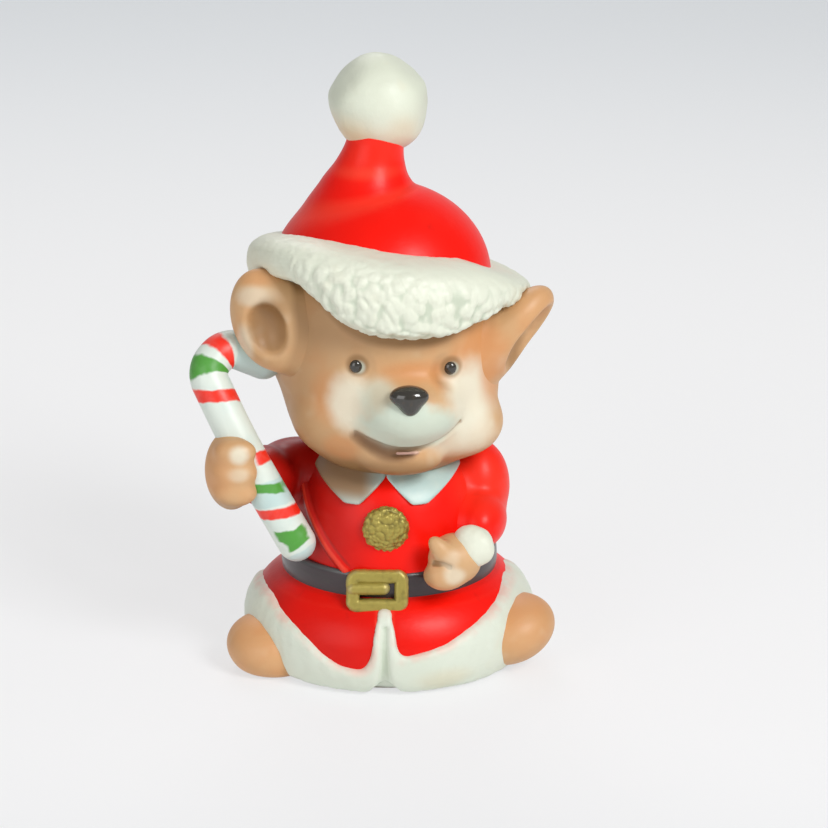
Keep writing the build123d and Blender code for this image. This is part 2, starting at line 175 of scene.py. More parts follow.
class HatSizes(PropertyGroup):
    """The hat's crown, its bent tip, its fur band and its pompom."""

    crown_middle: middle("Crown", (-1.3, 0.0, 68.6))
    crown_half: half("Crown", (19.0, 17.8, 16.4))
    seat: length("Seat", "Height at which the hat meets the head", 71.0)
    rest: length("Rest", "How far above the fur band's middle plane the crown ends", 0.8)
    tip_foot: point("Tip, foot", "Middle of the crown where its tip begins", (0.4, 0.0, 75.6))
    tip_height: length("Tip height", "From the tip's foot to the pompom", 18.4)
    tip_radius: length("Tip radius", "Radius that the tip's sections are shares of", 12.0)
    band_middle: middle("Band", (-0.1, 0.0, 68.4))
    band_half: half("Band", (24.5, 24.6, 6.8))
    band_turn: turn("Band", (-5.0, 8.0, 0.0))
    pompom_middle: middle("Pompom", (-1.6, 3.0, 98.0))
    pompom_radius: length("Pompom radius", "Half the pompom's width", 8.6)


class ArmSizes(PropertyGroup):
    """The sleeves, the cuffs and the paws."""

    upper_right_middle: middle("Right upper sleeve", (-16.09, -0.65, 32.9))
    upper_right_half: half("Right upper sleeve", (8.2, 6.6, 6.2))
    fore_right_middle: middle("Right forearm", (-21.5, -6.26, 34.14))
    fore_right_half: half("Right forearm", (5.4, 6.8, 5.2))
    upper_left_middle: middle("Left upper sleeve", (15.6, -2.2, 31.1))
    upper_left_half: half("Left upper sleeve", (5.6, 6.6, 8.2))
    fore_left_middle: middle("Left forearm", (15.68, -7.62, 27.0))
    fore_left_half: half("Left forearm", (4.9, 7.6, 5.2))
    cuff_half: half("Cuff", (3.9, 3.0, 3.7))
    cuff_right_middle: middle("Right cuff", (-23.77, -10.48, 35.18))
    cuff_right_turn: turn("Right cuff", (0.0, 0.0, -36.0))
    cuff_left_middle: middle("Left cuff", (14.4, -18.5, 25.7))
    cuff_left_turn: turn("Left cuff", (0.0, 0.0, -30.0))
    fist_middle: middle("Fist", (-26.8, -14.53, 38.1))
    fist_half: half("Fist", (4.5, 5.0, 7.0))
    finger_middle: middle("Gripping fingers", (-25.7, -18.2, 38.9))
    finger_half: half("Gripping finger", (3.4, 2.3, 2.15))
    finger_spacing: length("Finger spacing", "From one gripping finger to the next", 3.7)
    finger_count: IntProperty(name="Finger count", description="How many fingers grip the cane", default=3)
    hand_middle: middle("Hand", (11.4, -18.2, 23.3))
    hand_half: half("Hand", (4.6, 4.6, 4.4))
    folded_middle: middle("Folded fingers", (9.61, -20.45, 21.16))
    folded_half: half("Folded fingers", (3.6, 2.8, 2.6))
    thumb_middle: middle("Thumb", (9.38, -21.14, 25.56))
    thumb_half: half("Thumb", (1.7, 1.7, 3.4))
    thumb_turn: turn("Thumb", (0.0, -40.0, 0.0))


class CaneSizes(PropertyGroup):
    """The candy cane."""

    radius: length("Radius", "Half the stick's width", 3.3)
    foot: point("Foot", "Middle of the stick's rounded lower end", (-15.74, -15.43, 25.25))
    rise: length("Rise", "From the foot to the top of the crook", 33.0)
    sides: IntProperty(name="Sides", description="Points round the stick", default=72)
    step: length("Step", "From one ring of points to the next", 0.35)


class PaintColours(PropertyGroup):
    """The paints, as they look under plain light."""

    red: colour("Red", "Coat and hat", "F31102")
    # Light red: thin red on the ridges with a painted highlight there, spots of painted highlight, and red
    # bled onto the fur
    red_light: colour("Light red", "Where the red is thin on ridges", "F4523A")
    # Deep red: brush strokes, and painted shade in the creases, on the figurine's right side and in spots
    red_deep: colour("Deep red", "Where the red has pooled in creases", "7D120D")
    fur: colour("Fur white", "Fur trim", "E1E4D3")
    # Fur shade: painted shade in the hollows and creases of the fur and collar, a grey tone, and specks in
    # the bisque
    fur_shade: colour("Fur shade", "Wash in the fur's hollows", "AFBCA6")
    # Warm stain: beige stains on the white, and painted shade low on the pompom
    warm_stain_and_shade: colour("Warm stain", "Beige bloom on the white", "D9C49A")
    tan: colour("Tan", "Fur of the face and paws", "CEA476")
    orange: colour("Orange", "Airbrushed warm patches", "D28B50")
    # Brown: paint on the lids and in the ears, and painted shade and shadow on the head, chin, collar, paws
    # and in creases
    brown: colour("Brown", "Airbrushed shade", "8B6439")
    cream: colour("Cream", "Cheeks and chin", "E4E0CC")
    muzzle: colour("Muzzle white", "Muzzle and nose's surround", "C9D4C4")
    mouth: colour("Mouth", "Open mouth", "6E4A2C")
    lip: colour("Lip", "Lower lip", "DDAFA4")
    black: colour("Black", "Nose and eyes", "33302B")
    collar: colour("Collar", "Pale blue-white collar", "B6CFCB")
    belt: colour("Belt", "Dark brown leather look", "33262A")
    gold: colour("Gold", "Antique gold", "A8994B")
    gold_shade: colour("Gold shade", "Dark wash in the gold", "5F5524")
    cane: colour("Cane white", "Candy cane between its stripes", "DAE3DA")
    cane_blue: colour("Cane blue", "Pale blue parts of the candy cane", "B9D3D1")
    cane_red: colour("Cane red", "Red stripes", "EE2A12")
    cane_green: colour("Cane green", "Green stripes and leaves", "4E9A38")
    bisque: colour("Bisque", "Unpainted underside", "DDD8CB")
    backdrop: colour("Backdrop", "Floor round the figurine", "F5F5F6")
    # Far backdrop: the floor's painted shade far back and at its front
    backdrop_far: colour("Far backdrop", "Background behind the figurine", "E0E3E6")


class CastSizes(PropertyGroup):
    """How finely the pieces are cast."""

    step: length("Step", "Grid step of the large pieces", 0.42)
    fine_step: length("Fine step", "Grid step of the small and furry pieces", 0.28)


GROUPS = {
    "figurine_coat": CoatSizes,
    "figurine_trim": TrimSizes,
    "figurine_head": HeadSizes,
    "figurine_hat": HatSizes,
    "figurine_arms": ArmSizes,
    "figurine_cane": CaneSizes,
    "figurine_paints": PaintColours,
    "figurine_casting": CastSizes,
}

# Each row is a height as a share of the piece's height, then a half size as a share of its greatest
SKIRT_SHARES = (
    (0.0, 0.915),
    (0.19, 0.985),
    (0.43, 1.0),
    (0.64, 0.95),
    (0.78, 0.865),
    (0.88, 0.765),
    (1.0, 0.7),
)
BODICE_SHARES = (
    (0.0, 0.95),
    (0.1, 1.0),
    (0.32, 1.0),
    (0.54, 0.955),
    (0.72, 0.85),
    (0.86, 0.66),
    (1.0, 0.46),
)
BELT_SHARES = ((0.0, 0.99), (0.5, 1.0), (1.0, 0.99))
# The hat band's heights go from its lower edge at -1 to its upper edge at 1
BAND_SHARES = (
    (-1.0, 0.8),
    (-0.85, 0.92),
    (-0.45, 0.985),
    (0.05, 1.0),
    (0.5, 0.965),
    (0.82, 0.86),
    (1.0, 0.7),
)
NOTCH_SHARES = (
    (0.0, 0.85),
    (0.08, 0.55),
    (0.18, 0.33),
    (0.30, 0.19),
    (0.42, 0.13),
    (0.6, 0.10),
    (1.0, 0.07),
)
# The same for the half width of the fur along both front edges
EDGE_FUR_SHARES = ((0.0, 1.3), (0.3, 1.25), (0.6, 1.05), (0.85, 0.8), (1.0, 0.6))
# Directions in which the pompom is flattened, and how far out, as a share of its radius
POMPOM_FACETS = (
    ((-0.75, -0.25, 0.62), 0.92),
    ((0.62, -0.10, 0.78), 0.93),
    ((0.95, -0.20, -0.05), 0.95),
    ((-0.90, -0.10, -0.42), 0.94),
)
# Where the raised edge beside the cane runs down the bodice, across and up
PIPING_PLACES = ((-14.6, 33.0), (-13.2, 29.0), (-10.4, 24.4), (-7.4, 20.8))
PIPING_RADIUS = 0.75
# How thick the belt's ring is
BELT_WALL = 2.4
# Roundings of the buckle's corners and of its bars
BUCKLE_CORNER = 0.8
BUCKLE_ROUNDING = 0.85
# How far the chest button leans back
BUTTON_LEAN = math.radians(8)
# Each row is a height as a share of the tip's, then shifts to the side and back and a radius, all three as
# shares of the tip's radius
TIP_SHARES = (
    (0.0, -0.30, 0.06, 1.22),
    (0.31, -0.34, 0.08, 0.88),
    (0.52, -0.35, 0.08, 0.64),
    (0.70, -0.29, 0.08, 0.49),
    (0.89, -0.22, 0.06, 0.41),
    (1.0, -0.20, 0.04, 0.40),
)
# Each row is an angle round the hat band from its front, positive to the figurine's left, then how far the
# roll reaches below and above its middle, as shares of its greatest half height
BAND_EDGE_SHARES = (
    (-180, 0.60, 0.62),
    (-120, 0.60, 0.66),
    (-90, 0.62, 0.78),
    (-62, 0.26, 0.96),
    (-45, 0.12, 1.02),
    (-33, 0.34, 1.04),
    (-20, 0.78, 1.04),
    (0, 1.02, 1.00),
    (15, 0.99, 1.00),
    (30, 0.84, 1.00),
    (45, 0.50, 0.98),
    (60, 0.16, 0.84),
    (80, 0.20, 0.66),
    (110, 0.50, 0.60),
    (180, 0.60, 0.62),
)
# Each row is an angle round the skirt from its front, then the fur's height there as a share of the skirt's
HEM_SHARES = (
    (-180, 0.31),
    (-130, 0.45),
    (-100, 0.70),
    (-72, 0.75),
    (-47, 0.62),
    (-35, 0.50),
    (-25, 0.35),
    (-14, 0.28),
    (0, 0.35),
    (10, 0.43),
    (20, 0.47),
    (41, 0.63),
    (53, 0.71),
    (71, 0.81),
    (97, 0.82),
    (130, 0.55),
    (180, 0.31),
)
# The lobe's corners beyond the V, as shares of the lobe's width out and of its drop up
LOBE_SHARES = ((0.0, 0.0), (0.42, -1.02), (0.56, -1.02), (1.04, 0.1), (1.34, 2.2), (0.0, 2.2))
# The radius of the lobe's corners
LOBE_ROUNDING = 1.3
# The cane's corners from its foot, across, back and up, as shares of its rise
CANE_SHARES = (
    (0.0, 0.0, 0.0),
    (-0.280, 0.031, 0.51),
    (-0.470, 0.150, 0.89),
    (-0.362, 0.228, 1.0),
    (-0.127, 0.299, 0.88),
)
# The upper lip's edge from the nose's middle, across and up, as shares of the nose's half width
LIP_SHARES = ((-2.75, -2.05), (-1.85, -2.60), (-0.5, -2.95), (0.8, -2.82), (1.85, -2.35), (2.65, -1.70))
# How wide the groove under it is along its length, as shares of the groove's radius
GROOVE_SHARES = ((0, 0.6), (0.2, 1.3), (0.75, 1.0), (1, 0.7))
# The chin under the mouth: its middle, and half its width, depth and height
CHIN = ((2.2, -17.0, 40.8), (6.6, 3.0, 2.6))
# Half the width, depth and height of the hollow round each eye, and how far before the face its middle is
EYE_HOLLOW = (2.6, 1.7, 2.6)
HOLLOW_SHIFT = (0, -1.3, 0)
# From the groove to the mouth's opening and to the lower lip
OPENING_SHIFT = (0, 0.1, 0.85)
LOWER_LIP_SHIFT = (0, 0.1, 0.55)
LOWER_LIP_RADIUS = 0.26
# The crease between the fingers and the palm of the hand on the coat, across and up
HAND_CREASE_PLACES = ((7.8, 23.6), (9.2, 23.9), (10.4, 23.5))
# The height at which the red skirt begins, inside the hem
SKIRT_FOOT = 1.6
# How far the crease between the front edges is cut up the red skirt and the fur, as shares of its height
RED_CREASE, FUR_CREASE = 0.93, 0.86
# How steeply the collar's edge rises towards the back, and the height at which the head cuts it off
COLLAR_SLOPE = math.tan(math.radians(6))
COLLAR_TOP = 39.6
# Grid steps of the pieces that need their own
BUCKLE_STEP = 0.18
BUTTON_STEP = 0.16
NOSE_STEP = 0.16
EYE_STEP = 0.12
CUFF_STEP = 0.22
PAW_STEP = 0.24
# Raised relief: how wide, long and deep its tufts are, how much they swirl, and their seed
HEM_RELIEF = (2.6, 5.0, 0.8, 0.5, 3)
BAND_RELIEF = (1.6, 2.2, 0.62, 1.5, 2)
POMPOM_RELIEF = (4.5, 4.5, 1.4, 0.5, 4)
CUFF_RELIEF = (2.4, 3.0, 1.0, 0.6, 6)
BUCKLE_RELIEF = (1.3, 1.3, 0.25, 0.4, 5)
BUTTON_RELIEF = (0.85, 0.8, 0.46, 0.9, 8)
# How much of that relief shows on the pieces where it is even
HEM_TUFTS = 0.22
POMPOM_TUFTS = 0.15
CUFF_TUFTS = 0.22
BUCKLE_TUFTS = 0.4

# Spots of painted highlight in light red and of painted shade in deep red, the one on the right sleeve being
# darker paint as well: the paint, its middle, its half sizes, its amount and how soft its edge is
RED_SPOTS = (
    ("red_deep", (-12.0, -14.0, 28.0), (8.0, 9.0, 9.0), 0.42, 0.6),
    ("red_deep", (-5.0, -22.0, 9.0), (10.0, 7.0, 8.0), 0.22, 0.6),
    ("red_deep", (-17.0, -6.0, 36.0), (9.0, 12.0, 8.0), 0.55, 0.6),
    ("red_light", (-4.0, -9.0, 87.6), (8.0, 8.0, 0.9), 0.4, 0.8),
    ("red_light", (-3.0, -6.0, 91.0), (8.0, 7.0, 4.0), 0.2, 0.6),
    ("red_light", (17.0, -7.0, 33.0), (6.0, 8.0, 6.0), 0.3, 0.6),
    ("red_deep", (-24.0, -4.0, 14.0), (7.0, 14.0, 5.0), 0.45, 0.6),
)
# Warm stains on the white fur: their middle, half sizes and amount
HEM_STAINS = (((-22.0, -12.0, 8.0), (4.0, 6.0, 6.0), 0.12), ((9.0, -22.0, 3.0), (5.0, 3.0, 2.0), 0.3))
BAND_STAINS = (((-21.0, -8.0, 70.0), (6.0, 10.0, 5.0), 0.25),)
# The warm patch before the left ear, which the ear's foot shares: a paint, its middle, half sizes and amount
LEFT_TEMPLE = ("orange", (15.5, -14.0, 57.0), (5.0, 9.0, 7.0), 0.65)
# Dabs of paint on the face: the paint, its middle across and up, half its width and height, its amount and
# how soft its edge is
FACE_DABS = (
    ("orange", -9.5, 52.0, 3.5, 4.5, 0.45, 0.45),
    # Painted shade under the mouth
    ("brown", 1.0, 39.0, 9.0, 2.6, 0.62, 0.45),
    ("orange", -8.0, 43.0, 3.0, 2.6, 0.5, 0.45),
    ("cream", -6.5, 51.5, 3.6, 4.8, 0.8, 0.45),
    ("cream", 13.6, 51.0, 4.6, 6.2, 0.9, 0.45),
    ("cream", 12.6, 44.6, 5.6, 3.6, 0.6, 0.45),
    ("orange", 17.6, 53.6, 2.2, 4.4, 0.55, 0.6),
    ("muzzle", 3.6, 47.8, 8.6, 4.6, 0.95, 0.25),
    ("muzzle", -1.6, 53.0, 3.2, 3.2, 0.6, 0.45),
    ("orange", 4.6, 57.0, 5.0, 1.6, 0.7, 0.7),
    ("orange", 8.4, 55.4, 1.6, 1.8, 0.4, 0.7),
    ("muzzle", 3.6, 51.6, 3.6, 2.0, 0.9, 0.3),
)
# The same round each eye, with the middle as a shift from the eye's
LID_DABS = (
    ("brown", 0.2, 0.25, 1.9, 1.9, 0.7, 0.25),
    ("muzzle", 0.4, -0.1, 1.15, 1.15, 0.7, 0.3),
)

# Each band of colour along the cane: its paint, where its middle and its half width are along the stick in
# millimetres, how far it slants across, and the sides that it covers, from -1 to 1
CANE_BANDS = (
    ("cane_blue", 1.0, 1.2, 0.0, -1.3, 1.3),
    ("cane_green", 4.6, 1.5, -0.4, -0.35, 0.75),
    ("cane_green", 5.6, 1.1, 1.6, -0.5, 0.3),
    ("cane_red", 10.0, 0.95, 1.4, -1.3, 1.3),
    ("cane_blue", 13.8, 2.4, 1.2, -1.3, 1.3),
    ("cane_green", 15.2, 0.95, 2.2, -0.35, 0.85),
    ("cane_red", 20.4, 1.1, 1.2, 0.35, 1.3),
    ("cane_red", 32.2, 1.15, 1.5, -1.3, 1.3),
    ("cane_green", 37.2, 1.15, -0.5, -1.3, 1.3),
    ("cane_red", 40.6, 0.9, -0.5, -1.3, 1.3),
    ("cane_blue", 48.5, 6.0, 0.0, -1.3, 1.3),
)

# The stage, in metres and watts: each lamp's name, place, width and power, then where they all point
LAMPS = (
    ("key_light", (0.40, -0.46, 0.50), 0.26, 4.0),
    ("fill_light", (-0.45, -0.60, 0.28), 0.50, 1.7),
    ("rim_light", (-0.10, 0.60, 0.55), 0.40, 1.4),
)
LAMP_TARGET = (0.0, 0.0, 0.05)
WORLD_COLOUR = (1.0, 0.99, 0.96, 1.0)
WORLD_STRENGTH = 0.30
# The floor runs back from its front to its bend, and curves up into a wall
FLOOR_HALF_WIDTH = 1.6
FLOOR_FRONT = -1.2
FLOOR_BEND = 0.7
BEND_RADIUS = 0.5
BEND_STEPS = 16
WALL_TOP = 1.4
# How much of the floor's own colour the camera sees in place of its lit one
FLOOR_GLOW = 0.7
# The camera looks down by its rise at its target, and sees half a frame to each side of it
CAMERA_RISE = math.radians(18.0)
CAMERA_AWAY = 0.48
CAMERA_TARGET = (0.0044, 0.0, 0.0434)
HALF_FRAME = 0.0725


# Distance fields

def least(a, b, blend):
    """The smaller of two distances, rounded over where they are within blend of each other."""
    if blend <= 0:
        return np.minimum(a, b)
    mix = np.clip(0.5 + 0.5 * (b - a) / blend, 0, 1)
    return b + (a - b) * mix - blend * mix * (1 - mix)


class Form:
    """A closed shape as a distance in millimetres, negative inside, with a box that holds it."""

    def __init__(self, distance, low, high):
        self.distance = distance
        self.low = np.array(low, float)
        self.high = np.array(high, float)

    def joined(self, other, blend=0.0):
        """Both shapes as one, with a soft fillet where they meet."""
        def distance(p):
            return least(self.distance(p), other.distance(p), blend)
        return Form(distance, np.minimum(self.low, other.low), np.maximum(self.high, other.high))

    def within(self, other, blend=0.0):
        """What lies in both shapes, with a soft edge."""
        def distance(p):
            return -least(-self.distance(p), -other.distance(p), blend)
        return Form(distance, np.maximum(self.low, other.low), np.minimum(self.high, other.high))

    def without(self, other, blend=0.0):
        """This shape with another scooped out of it."""
        def distance(p):
            return -least(-self.distance(p), other.distance(p), blend)
        return Form(distance, self.low, self.high)

    def grown(self, by):
        def distance(p):
            return self.distance(p) - by
        return Form(distance, self.low - by, self.high + by)

    def rooted(self, ground, blend, spread):
        """This shape with a soft foot that spreads a little way over what it stands on."""
        return self.joined(ground, blend).within(self.grown(spread), spread)


def turned(angles):
    """The matrix of turns about X, then the new Y, then the new Z."""
    turns = [Matrix.Rotation(angle, 3, axis) for angle, axis in zip(angles, "XYZ")]
    return np.array(turns[0] @ turns[1] @ turns[2])


def ellipsoid(centre, half_sizes, angles=(0.0, 0.0, 0.0)):
    centre = np.array(centre, float)
    half_sizes = np.array(half_sizes, float)
    matrix = turned(angles)

    def distance(p):
        local = (p - centre) @ matrix / half_sizes
        reach = np.sqrt((local ** 2).sum(1)) + 1e-9
        slope = np.sqrt(((local / half_sizes) ** 2).sum(1)) + 1e-9
        return reach * (reach - 1) / slope
    extent = half_sizes.max()
    return Form(distance, centre - extent, centre + extent)


def egg(sizes, part, size_of=None):
    """The ellipsoid that a group of sizes gives for one part."""
    angles = getattr(sizes, part + "_turn", (0.0, 0.0, 0.0))
    half_sizes = mm(getattr(sizes, (size_of or part) + "_half"))
    return ellipsoid(mm(getattr(sizes, part + "_middle")), half_sizes, angles)


def curve_through(rows):
    """A smooth function through the rows of a table of shares, with no overshoot between them."""
    rows = np.array(rows, float)
    at, value = rows[:, 0], rows[:, 1]
    rise = np.diff(value) / np.diff(at)
    inner = np.where(rise[1:] * rise[:-1] > 0, (rise[1:] + rise[:-1]) / 2, 0)
    slope = np.concatenate([[rise[0]], inner, [rise[-1]]])

    def shape(x):
        x = np.clip(x, at[0], at[-1])
        i = np.clip(np.searchsorted(at, x, side="right") - 1, 0, len(at) - 2)
        step = at[i + 1] - at[i]
        t = (x - at[i]) / step
        ease = t * t * (3 - 2 * t)
        pull = t * (1 - t) * step
        return value[i] * (1 - ease) + value[i + 1] * ease + pull * ((1 - t) * slope[i] - t * slope[i + 1])
    return shape


def curves_through(table):
    """A smooth function for each column of a table after its first."""
    rows = np.array(table, float)
    return [curve_through(rows[:, [0, column]]) for column in range(1, rows.shape[1])]


def oval(u, v, half_u, half_v):
    """The distance from points in a plane to an ellipse."""
    reach = np.hypot(u / half_u, v / half_v) + 1e-9
    slope = np.hypot(u / half_u ** 2, v / half_v ** 2) + 1e-9
    return reach * (reach - 1) / slope


def rectangle(u, v, half_u, half_v, rounding):
    """The distance from points in a plane to a rectangle with rounded corners."""
    over_u, over_v = np.abs(u) - (half_u - rounding), np.abs(v) - (half_v - rounding)
    outside = np.hypot(np.maximum(over_u, 0), np.maximum(over_v, 0))
    return outside + np.minimum(np.maximum(over_u, over_v), 0) - rounding


def bell(bottom, height, half_sizes, rows, setback, rounding=0.0):
    """A stack of ellipses, closed by a flat floor and a flat top."""
    size = curve_through(rows)

    def distance(p):
        across = size((p[:, 2] - bottom) / height)
        side = oval(p[:, 0], p[:, 1] + setback, half_sizes[0] * across, half_sizes[1] * across)
        caps = np.maximum(bottom - p[:, 2], p[:, 2] - bottom - height)
        return -least(-side, -caps, rounding)
    low = (-half_sizes[0], -half_sizes[1] - setback, bottom)
    high = (half_sizes[0], half_sizes[1] - setback, bottom + height)
    return Form(distance, low, high)


def rod(points, radii):
    """A round rod along a line of points, with a radius at each."""
    points = np.array(points, float)
    radii = np.broadcast_to(radii, len(points)).astype(float)

    def distance(p):
        nearest = np.full(len(p), np.inf)
        for a, b, ra, rb in zip(points, points[1:], radii, radii[1:]):
            along = np.clip((p - a) @ (b - a) / ((b - a) @ (b - a)), 0, 1)
            gap = np.linalg.norm(p - a - along[:, None] * (b - a), axis=1) - ra - along * (rb - ra)
            nearest = np.minimum(nearest, gap)
        return nearest
    return Form(distance, points.min(0) - radii.max(), points.max(0) + radii.max())


def above(height, reach=200.0):
    """Everything above a height."""
    def distance(p):
        return height - p[:, 2]
    return Form(distance, (-reach, -reach, height), (reach, reach, reach))


def below(height, reach=200.0):
    """Everything below a height."""
    def distance(p):
        return p[:, 2] - height
    return Form(distance, (-reach, -reach, -reach), (reach, reach, height))


def facet(centre, direction, reach):
    """Everything on one side of a plane that lies reach away from a centre."""
    direction = np.array(direction) / np.linalg.norm(direction)

    def distance(p):
        return (p - centre) @ direction - reach
    return Form(distance, centre - 100.0, centre + 100.0)


def outline(corners, rounding, depth):
    """A flat outline seen from the front, with rounded corners, from the middle plane to depth in front."""
    corners = np.array(corners, float)

    def distance(p):
        q = p[:, [0, 2]]
        gap = np.full(len(q), np.inf)
        inside = np.zeros(len(q), bool)
        for a, b in zip(corners, np.roll(corners, -1, axis=0)):
            along = np.clip((q - a) @ (b - a) / ((b - a) @ (b - a)), 0, 1)
            gap = np.minimum(gap, np.linalg.norm(q - a - along[:, None] * (b - a), axis=1))
            spans = (a[1] > q[:, 1]) != (b[1] > q[:, 1])
            crossing = a[0] + (q[:, 1] - a[1]) * (b[0] - a[0]) / (b[1] - a[1] if b[1] != a[1] else 1)
            inside ^= spans & (q[:, 0] < crossing)
        flat = np.where(inside, -gap, gap) - rounding
        return np.maximum(flat, np.maximum(p[:, 1], -depth - p[:, 1]))
    low, high = corners.min(0) - rounding, corners.max(0) + rounding
    return Form(distance, (low[0], -depth, low[1]), (high[0], 0, high[1]))


def on_front(form, across, height):
    """The point where the front of a form is met at one place across and one height."""
    depths = np.arange(form.low[1] - 1, form.high[1] + 1, 0.02)
    line = np.column_stack([np.full(len(depths), across), depths, np.full(len(depths), height)])
    inside = np.flatnonzero(form.distance(line) < 0)
    if not len(inside):
        raise ValueError(f"nothing is met at x {across:.1f}, z {height:.1f}")
    return line[inside[0]]


def front_line(form, places, points=40):
    """A smooth line over the front of a form through places given across and up."""
    across, up = curves_through(np.column_stack([np.linspace(0, 1, len(places)), places]))
    run = np.linspace(0, 1, points)
    return np.array([on_front(form, x, z) for x, z in zip(across(run), up(run))])


# Casting

CUBE = np.array([(x, y, z) for x in (0, 1) for y in (0, 1) for z in (0, 1)])
CUBE_EDGES = [(a, b) for a in range(8) for b in range(a + 1, 8) if abs(CUBE[a] - CUBE[b]).sum() == 1]


def gradient(form, points, gap):
    """The slope of a form's distance at some points."""
    rises = [form.distance(points + step) - form.distance(points - step) for step in np.eye(3) * gap]
    return np.column_stack(rises) / (2 * gap)


def surface(form, step):
    """A closed surface of quads: a vertex in each grid cell that it passes through, drawn onto the form."""
    low = form.low - 2 * step
    counts = np.ceil((form.high + 2 * step - low) / step).astype(int) + 1
    axes = [low[i] + step * np.arange(counts[i]) for i in range(3)]
    grid_y, grid_z = np.meshgrid(axes[1], axes[2], indexing="ij")
    values = np.empty(counts, np.float32)
    for i, x in enumerate(axes[0]):
        slab = np.column_stack([np.full(grid_y.size, x), grid_y.ravel(), grid_z.ravel()])
        values[i] = form.distance(slab).reshape(grid_y.shape)
    cells = counts - 1
    corners = [values[x:x + cells[0], y:y + cells[1], z:z + cells[2]] for x, y, z in CUBE]
    filled = sum((corner < 0).astype(np.int8) for corner in corners)
    crossed = (filled > 0) & (filled < 8)
    number = np.full(cells, -1, np.int64)
    number[crossed] = np.arange(crossed.sum())
    held = np.stack([corner[crossed] for corner in corners])
    total = np.zeros((held.shape[1], 3))
    hits = np.zeros(held.shape[1])
    for a, b in CUBE_EDGES:
        crosses = (held[a] < 0) != (held[b] < 0)
        share_along = held[a][crosses] / (held[a][crosses] - held[b][crosses])
        total[crosses] += CUBE[a] + share_along[:, None] * (CUBE[b] - CUBE[a])
        hits[crosses] += 1
    points = low + step * (np.argwhere(crossed) + total / hits[:, None])
    inside = values < 0
    quads = []
    for axis in range(3):
        one, two = (axis + 1) % 3, (axis + 2) % 3
        here = np.moveaxis(inside, axis, 0)
        leaves = here[:-1] != here[1:]
        starts = np.moveaxis(here[:-1] & leaves, 0, axis)
        at = np.argwhere(np.moveaxis(leaves, 0, axis))
        at = at[(at[:, one] > 0) & (at[:, two] > 0) & (at[:, one] < cells[one]) & (at[:, two] < cells[two])]
        ring = []
        for back_one, back_two in ((0, 0), (1, 0), (1, 1), (0, 1)):
            cell = at.copy()
            cell[:, one] -= back_one
            cell[:, two] -= back_two
            ring.append(number[tuple(cell.T)])
        ring = np.column_stack(ring)
        outward = starts[tuple(at.T)]
        ring[~outward] = ring[~outward][:, ::-1]
        quads.append(ring)
    for _ in range(2):
        slope = gradient(form, points, 0.2 * step)
        pull = form.distance(points) / np.maximum((slope ** 2).sum(1), 0.2)
        points = points - np.clip(pull, -0.5 * step, 0.5 * step)[:, None] * slope
    return points, np.concatenate(quads)


def largest_only(points, quads):
    """The largest connected surface, which drops the crumbs that a cut can leave."""
    label = np.arange(len(points))
    while True:
        lowest = label[quads].min(1)
        fresh = label.copy()
        np.minimum.at(fresh, quads.ravel(), np.repeat(lowest, 4))
        fresh = fresh[fresh]
        if (fresh == label).all():
            break
        label = fresh
    biggest = np.bincount(label[quads[:, 0]]).argmax()
    quads = quads[label[quads[:, 0]] == biggest]
    used = np.unique(quads)
    new_number = np.full(len(points), -1)
    new_number[used] = np.arange(len(used))
    return points[used], new_number[quads]


def mark(mesh, name, values):
    """Keeps a number at each vertex, for the materials and the relief to read."""
    mesh.attributes.new(name, "FLOAT", "POINT").data.foreach_set("value", np.asarray(values, np.float32))


def cast(name, form, step, tufts=1.0, marks=None):
    """A mesh of the form, marked with its ridges, its amount of relief and what lies in other forms."""
    points, quads = largest_only(*surface(form, step))
    mesh = bpy.data.meshes.new(name)
    mesh.from_pydata((points * MM).tolist(), [], quads.tolist())
    mesh.polygons.foreach_set("use_smooth", [True] * len(mesh.polygons))
    reach = 0.7
    around = sum(form.distance(points + s) + form.distance(points - s) for s in np.eye(3) * reach)
    mark(mesh, "ridge", (around - 6 * form.distance(points)) / reach ** 2)
    mark(mesh, "tufts", tufts(points) if callable(tufts) else np.full(len(points), tufts))
    mark(mesh, "relief", np.full(len(points), 0.6))
    for label, place in (marks or {}).items():
        mark(mesh, label, np.clip(0.5 - place.distance(points), 0, 1))
    mesh.validate()
    return mesh


def place_piece(mesh, name, slot, material, *nodes):
    """Puts a finished mesh in the figurine, in place of CAD nodes."""
    mesh.materials.clear()
    mesh.materials.append(material)
    thing = bpy.data.objects.new(name, mesh)
    bpy.context.scene.collection.objects.link(thing)
    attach(thing, "root")
    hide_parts(*nodes)
    return thing


def make_piece(node, form, step, slot, material, relief=None, tufts=1.0, marks=None):
    """Casts the piece that takes one CAD node's place, raises its relief and paints it."""
    name = "painted_" + node
    mesh = cast(name, form, step, tufts, marks)
    if relief:
        mesh = with_relief(mesh, material, *relief)
    place_piece(mesh, name, slot, material, node)


# Node trees

class Value:
    """A number that varies over a surface, so that node maths reads as arithmetic."""

    def __init__(self, wiring, socket):
        self.wiring = wiring
        self.socket = socket

    def _maths(self, operation, *parts):
        return self.wiring.value("ShaderNodeMath", {"operation": operation}, dict(enumerate(parts)))

    def __add__(self, other):
        return self._maths("ADD", self, other)

    def __radd__(self, other):
        return self._maths("ADD", other, self)

    def __sub__(self, other):
        return self._maths("SUBTRACT", self, other)

    def __rsub__(self, other):
        return self._maths("SUBTRACT", other, self)

    def __mul__(self, other):
        return self._maths("MULTIPLY", self, other)

    def __rmul__(self, other):
        return self._maths("MULTIPLY", other, self)

    def __truediv__(self, other):
        return self._maths("DIVIDE", self, other)

    def __rtruediv__(self, other):
        return self._maths("DIVIDE", other, self)

    def __abs__(self):
        return self._maths("ABSOLUTE", self)

    def root(self):
        return self._maths("SQRT", self)

    def at_least(self, other):
        return self._maths("MAXIMUM", self, other)

    def at_most(self, other):
        return self._maths("MINIMUM", self, other)


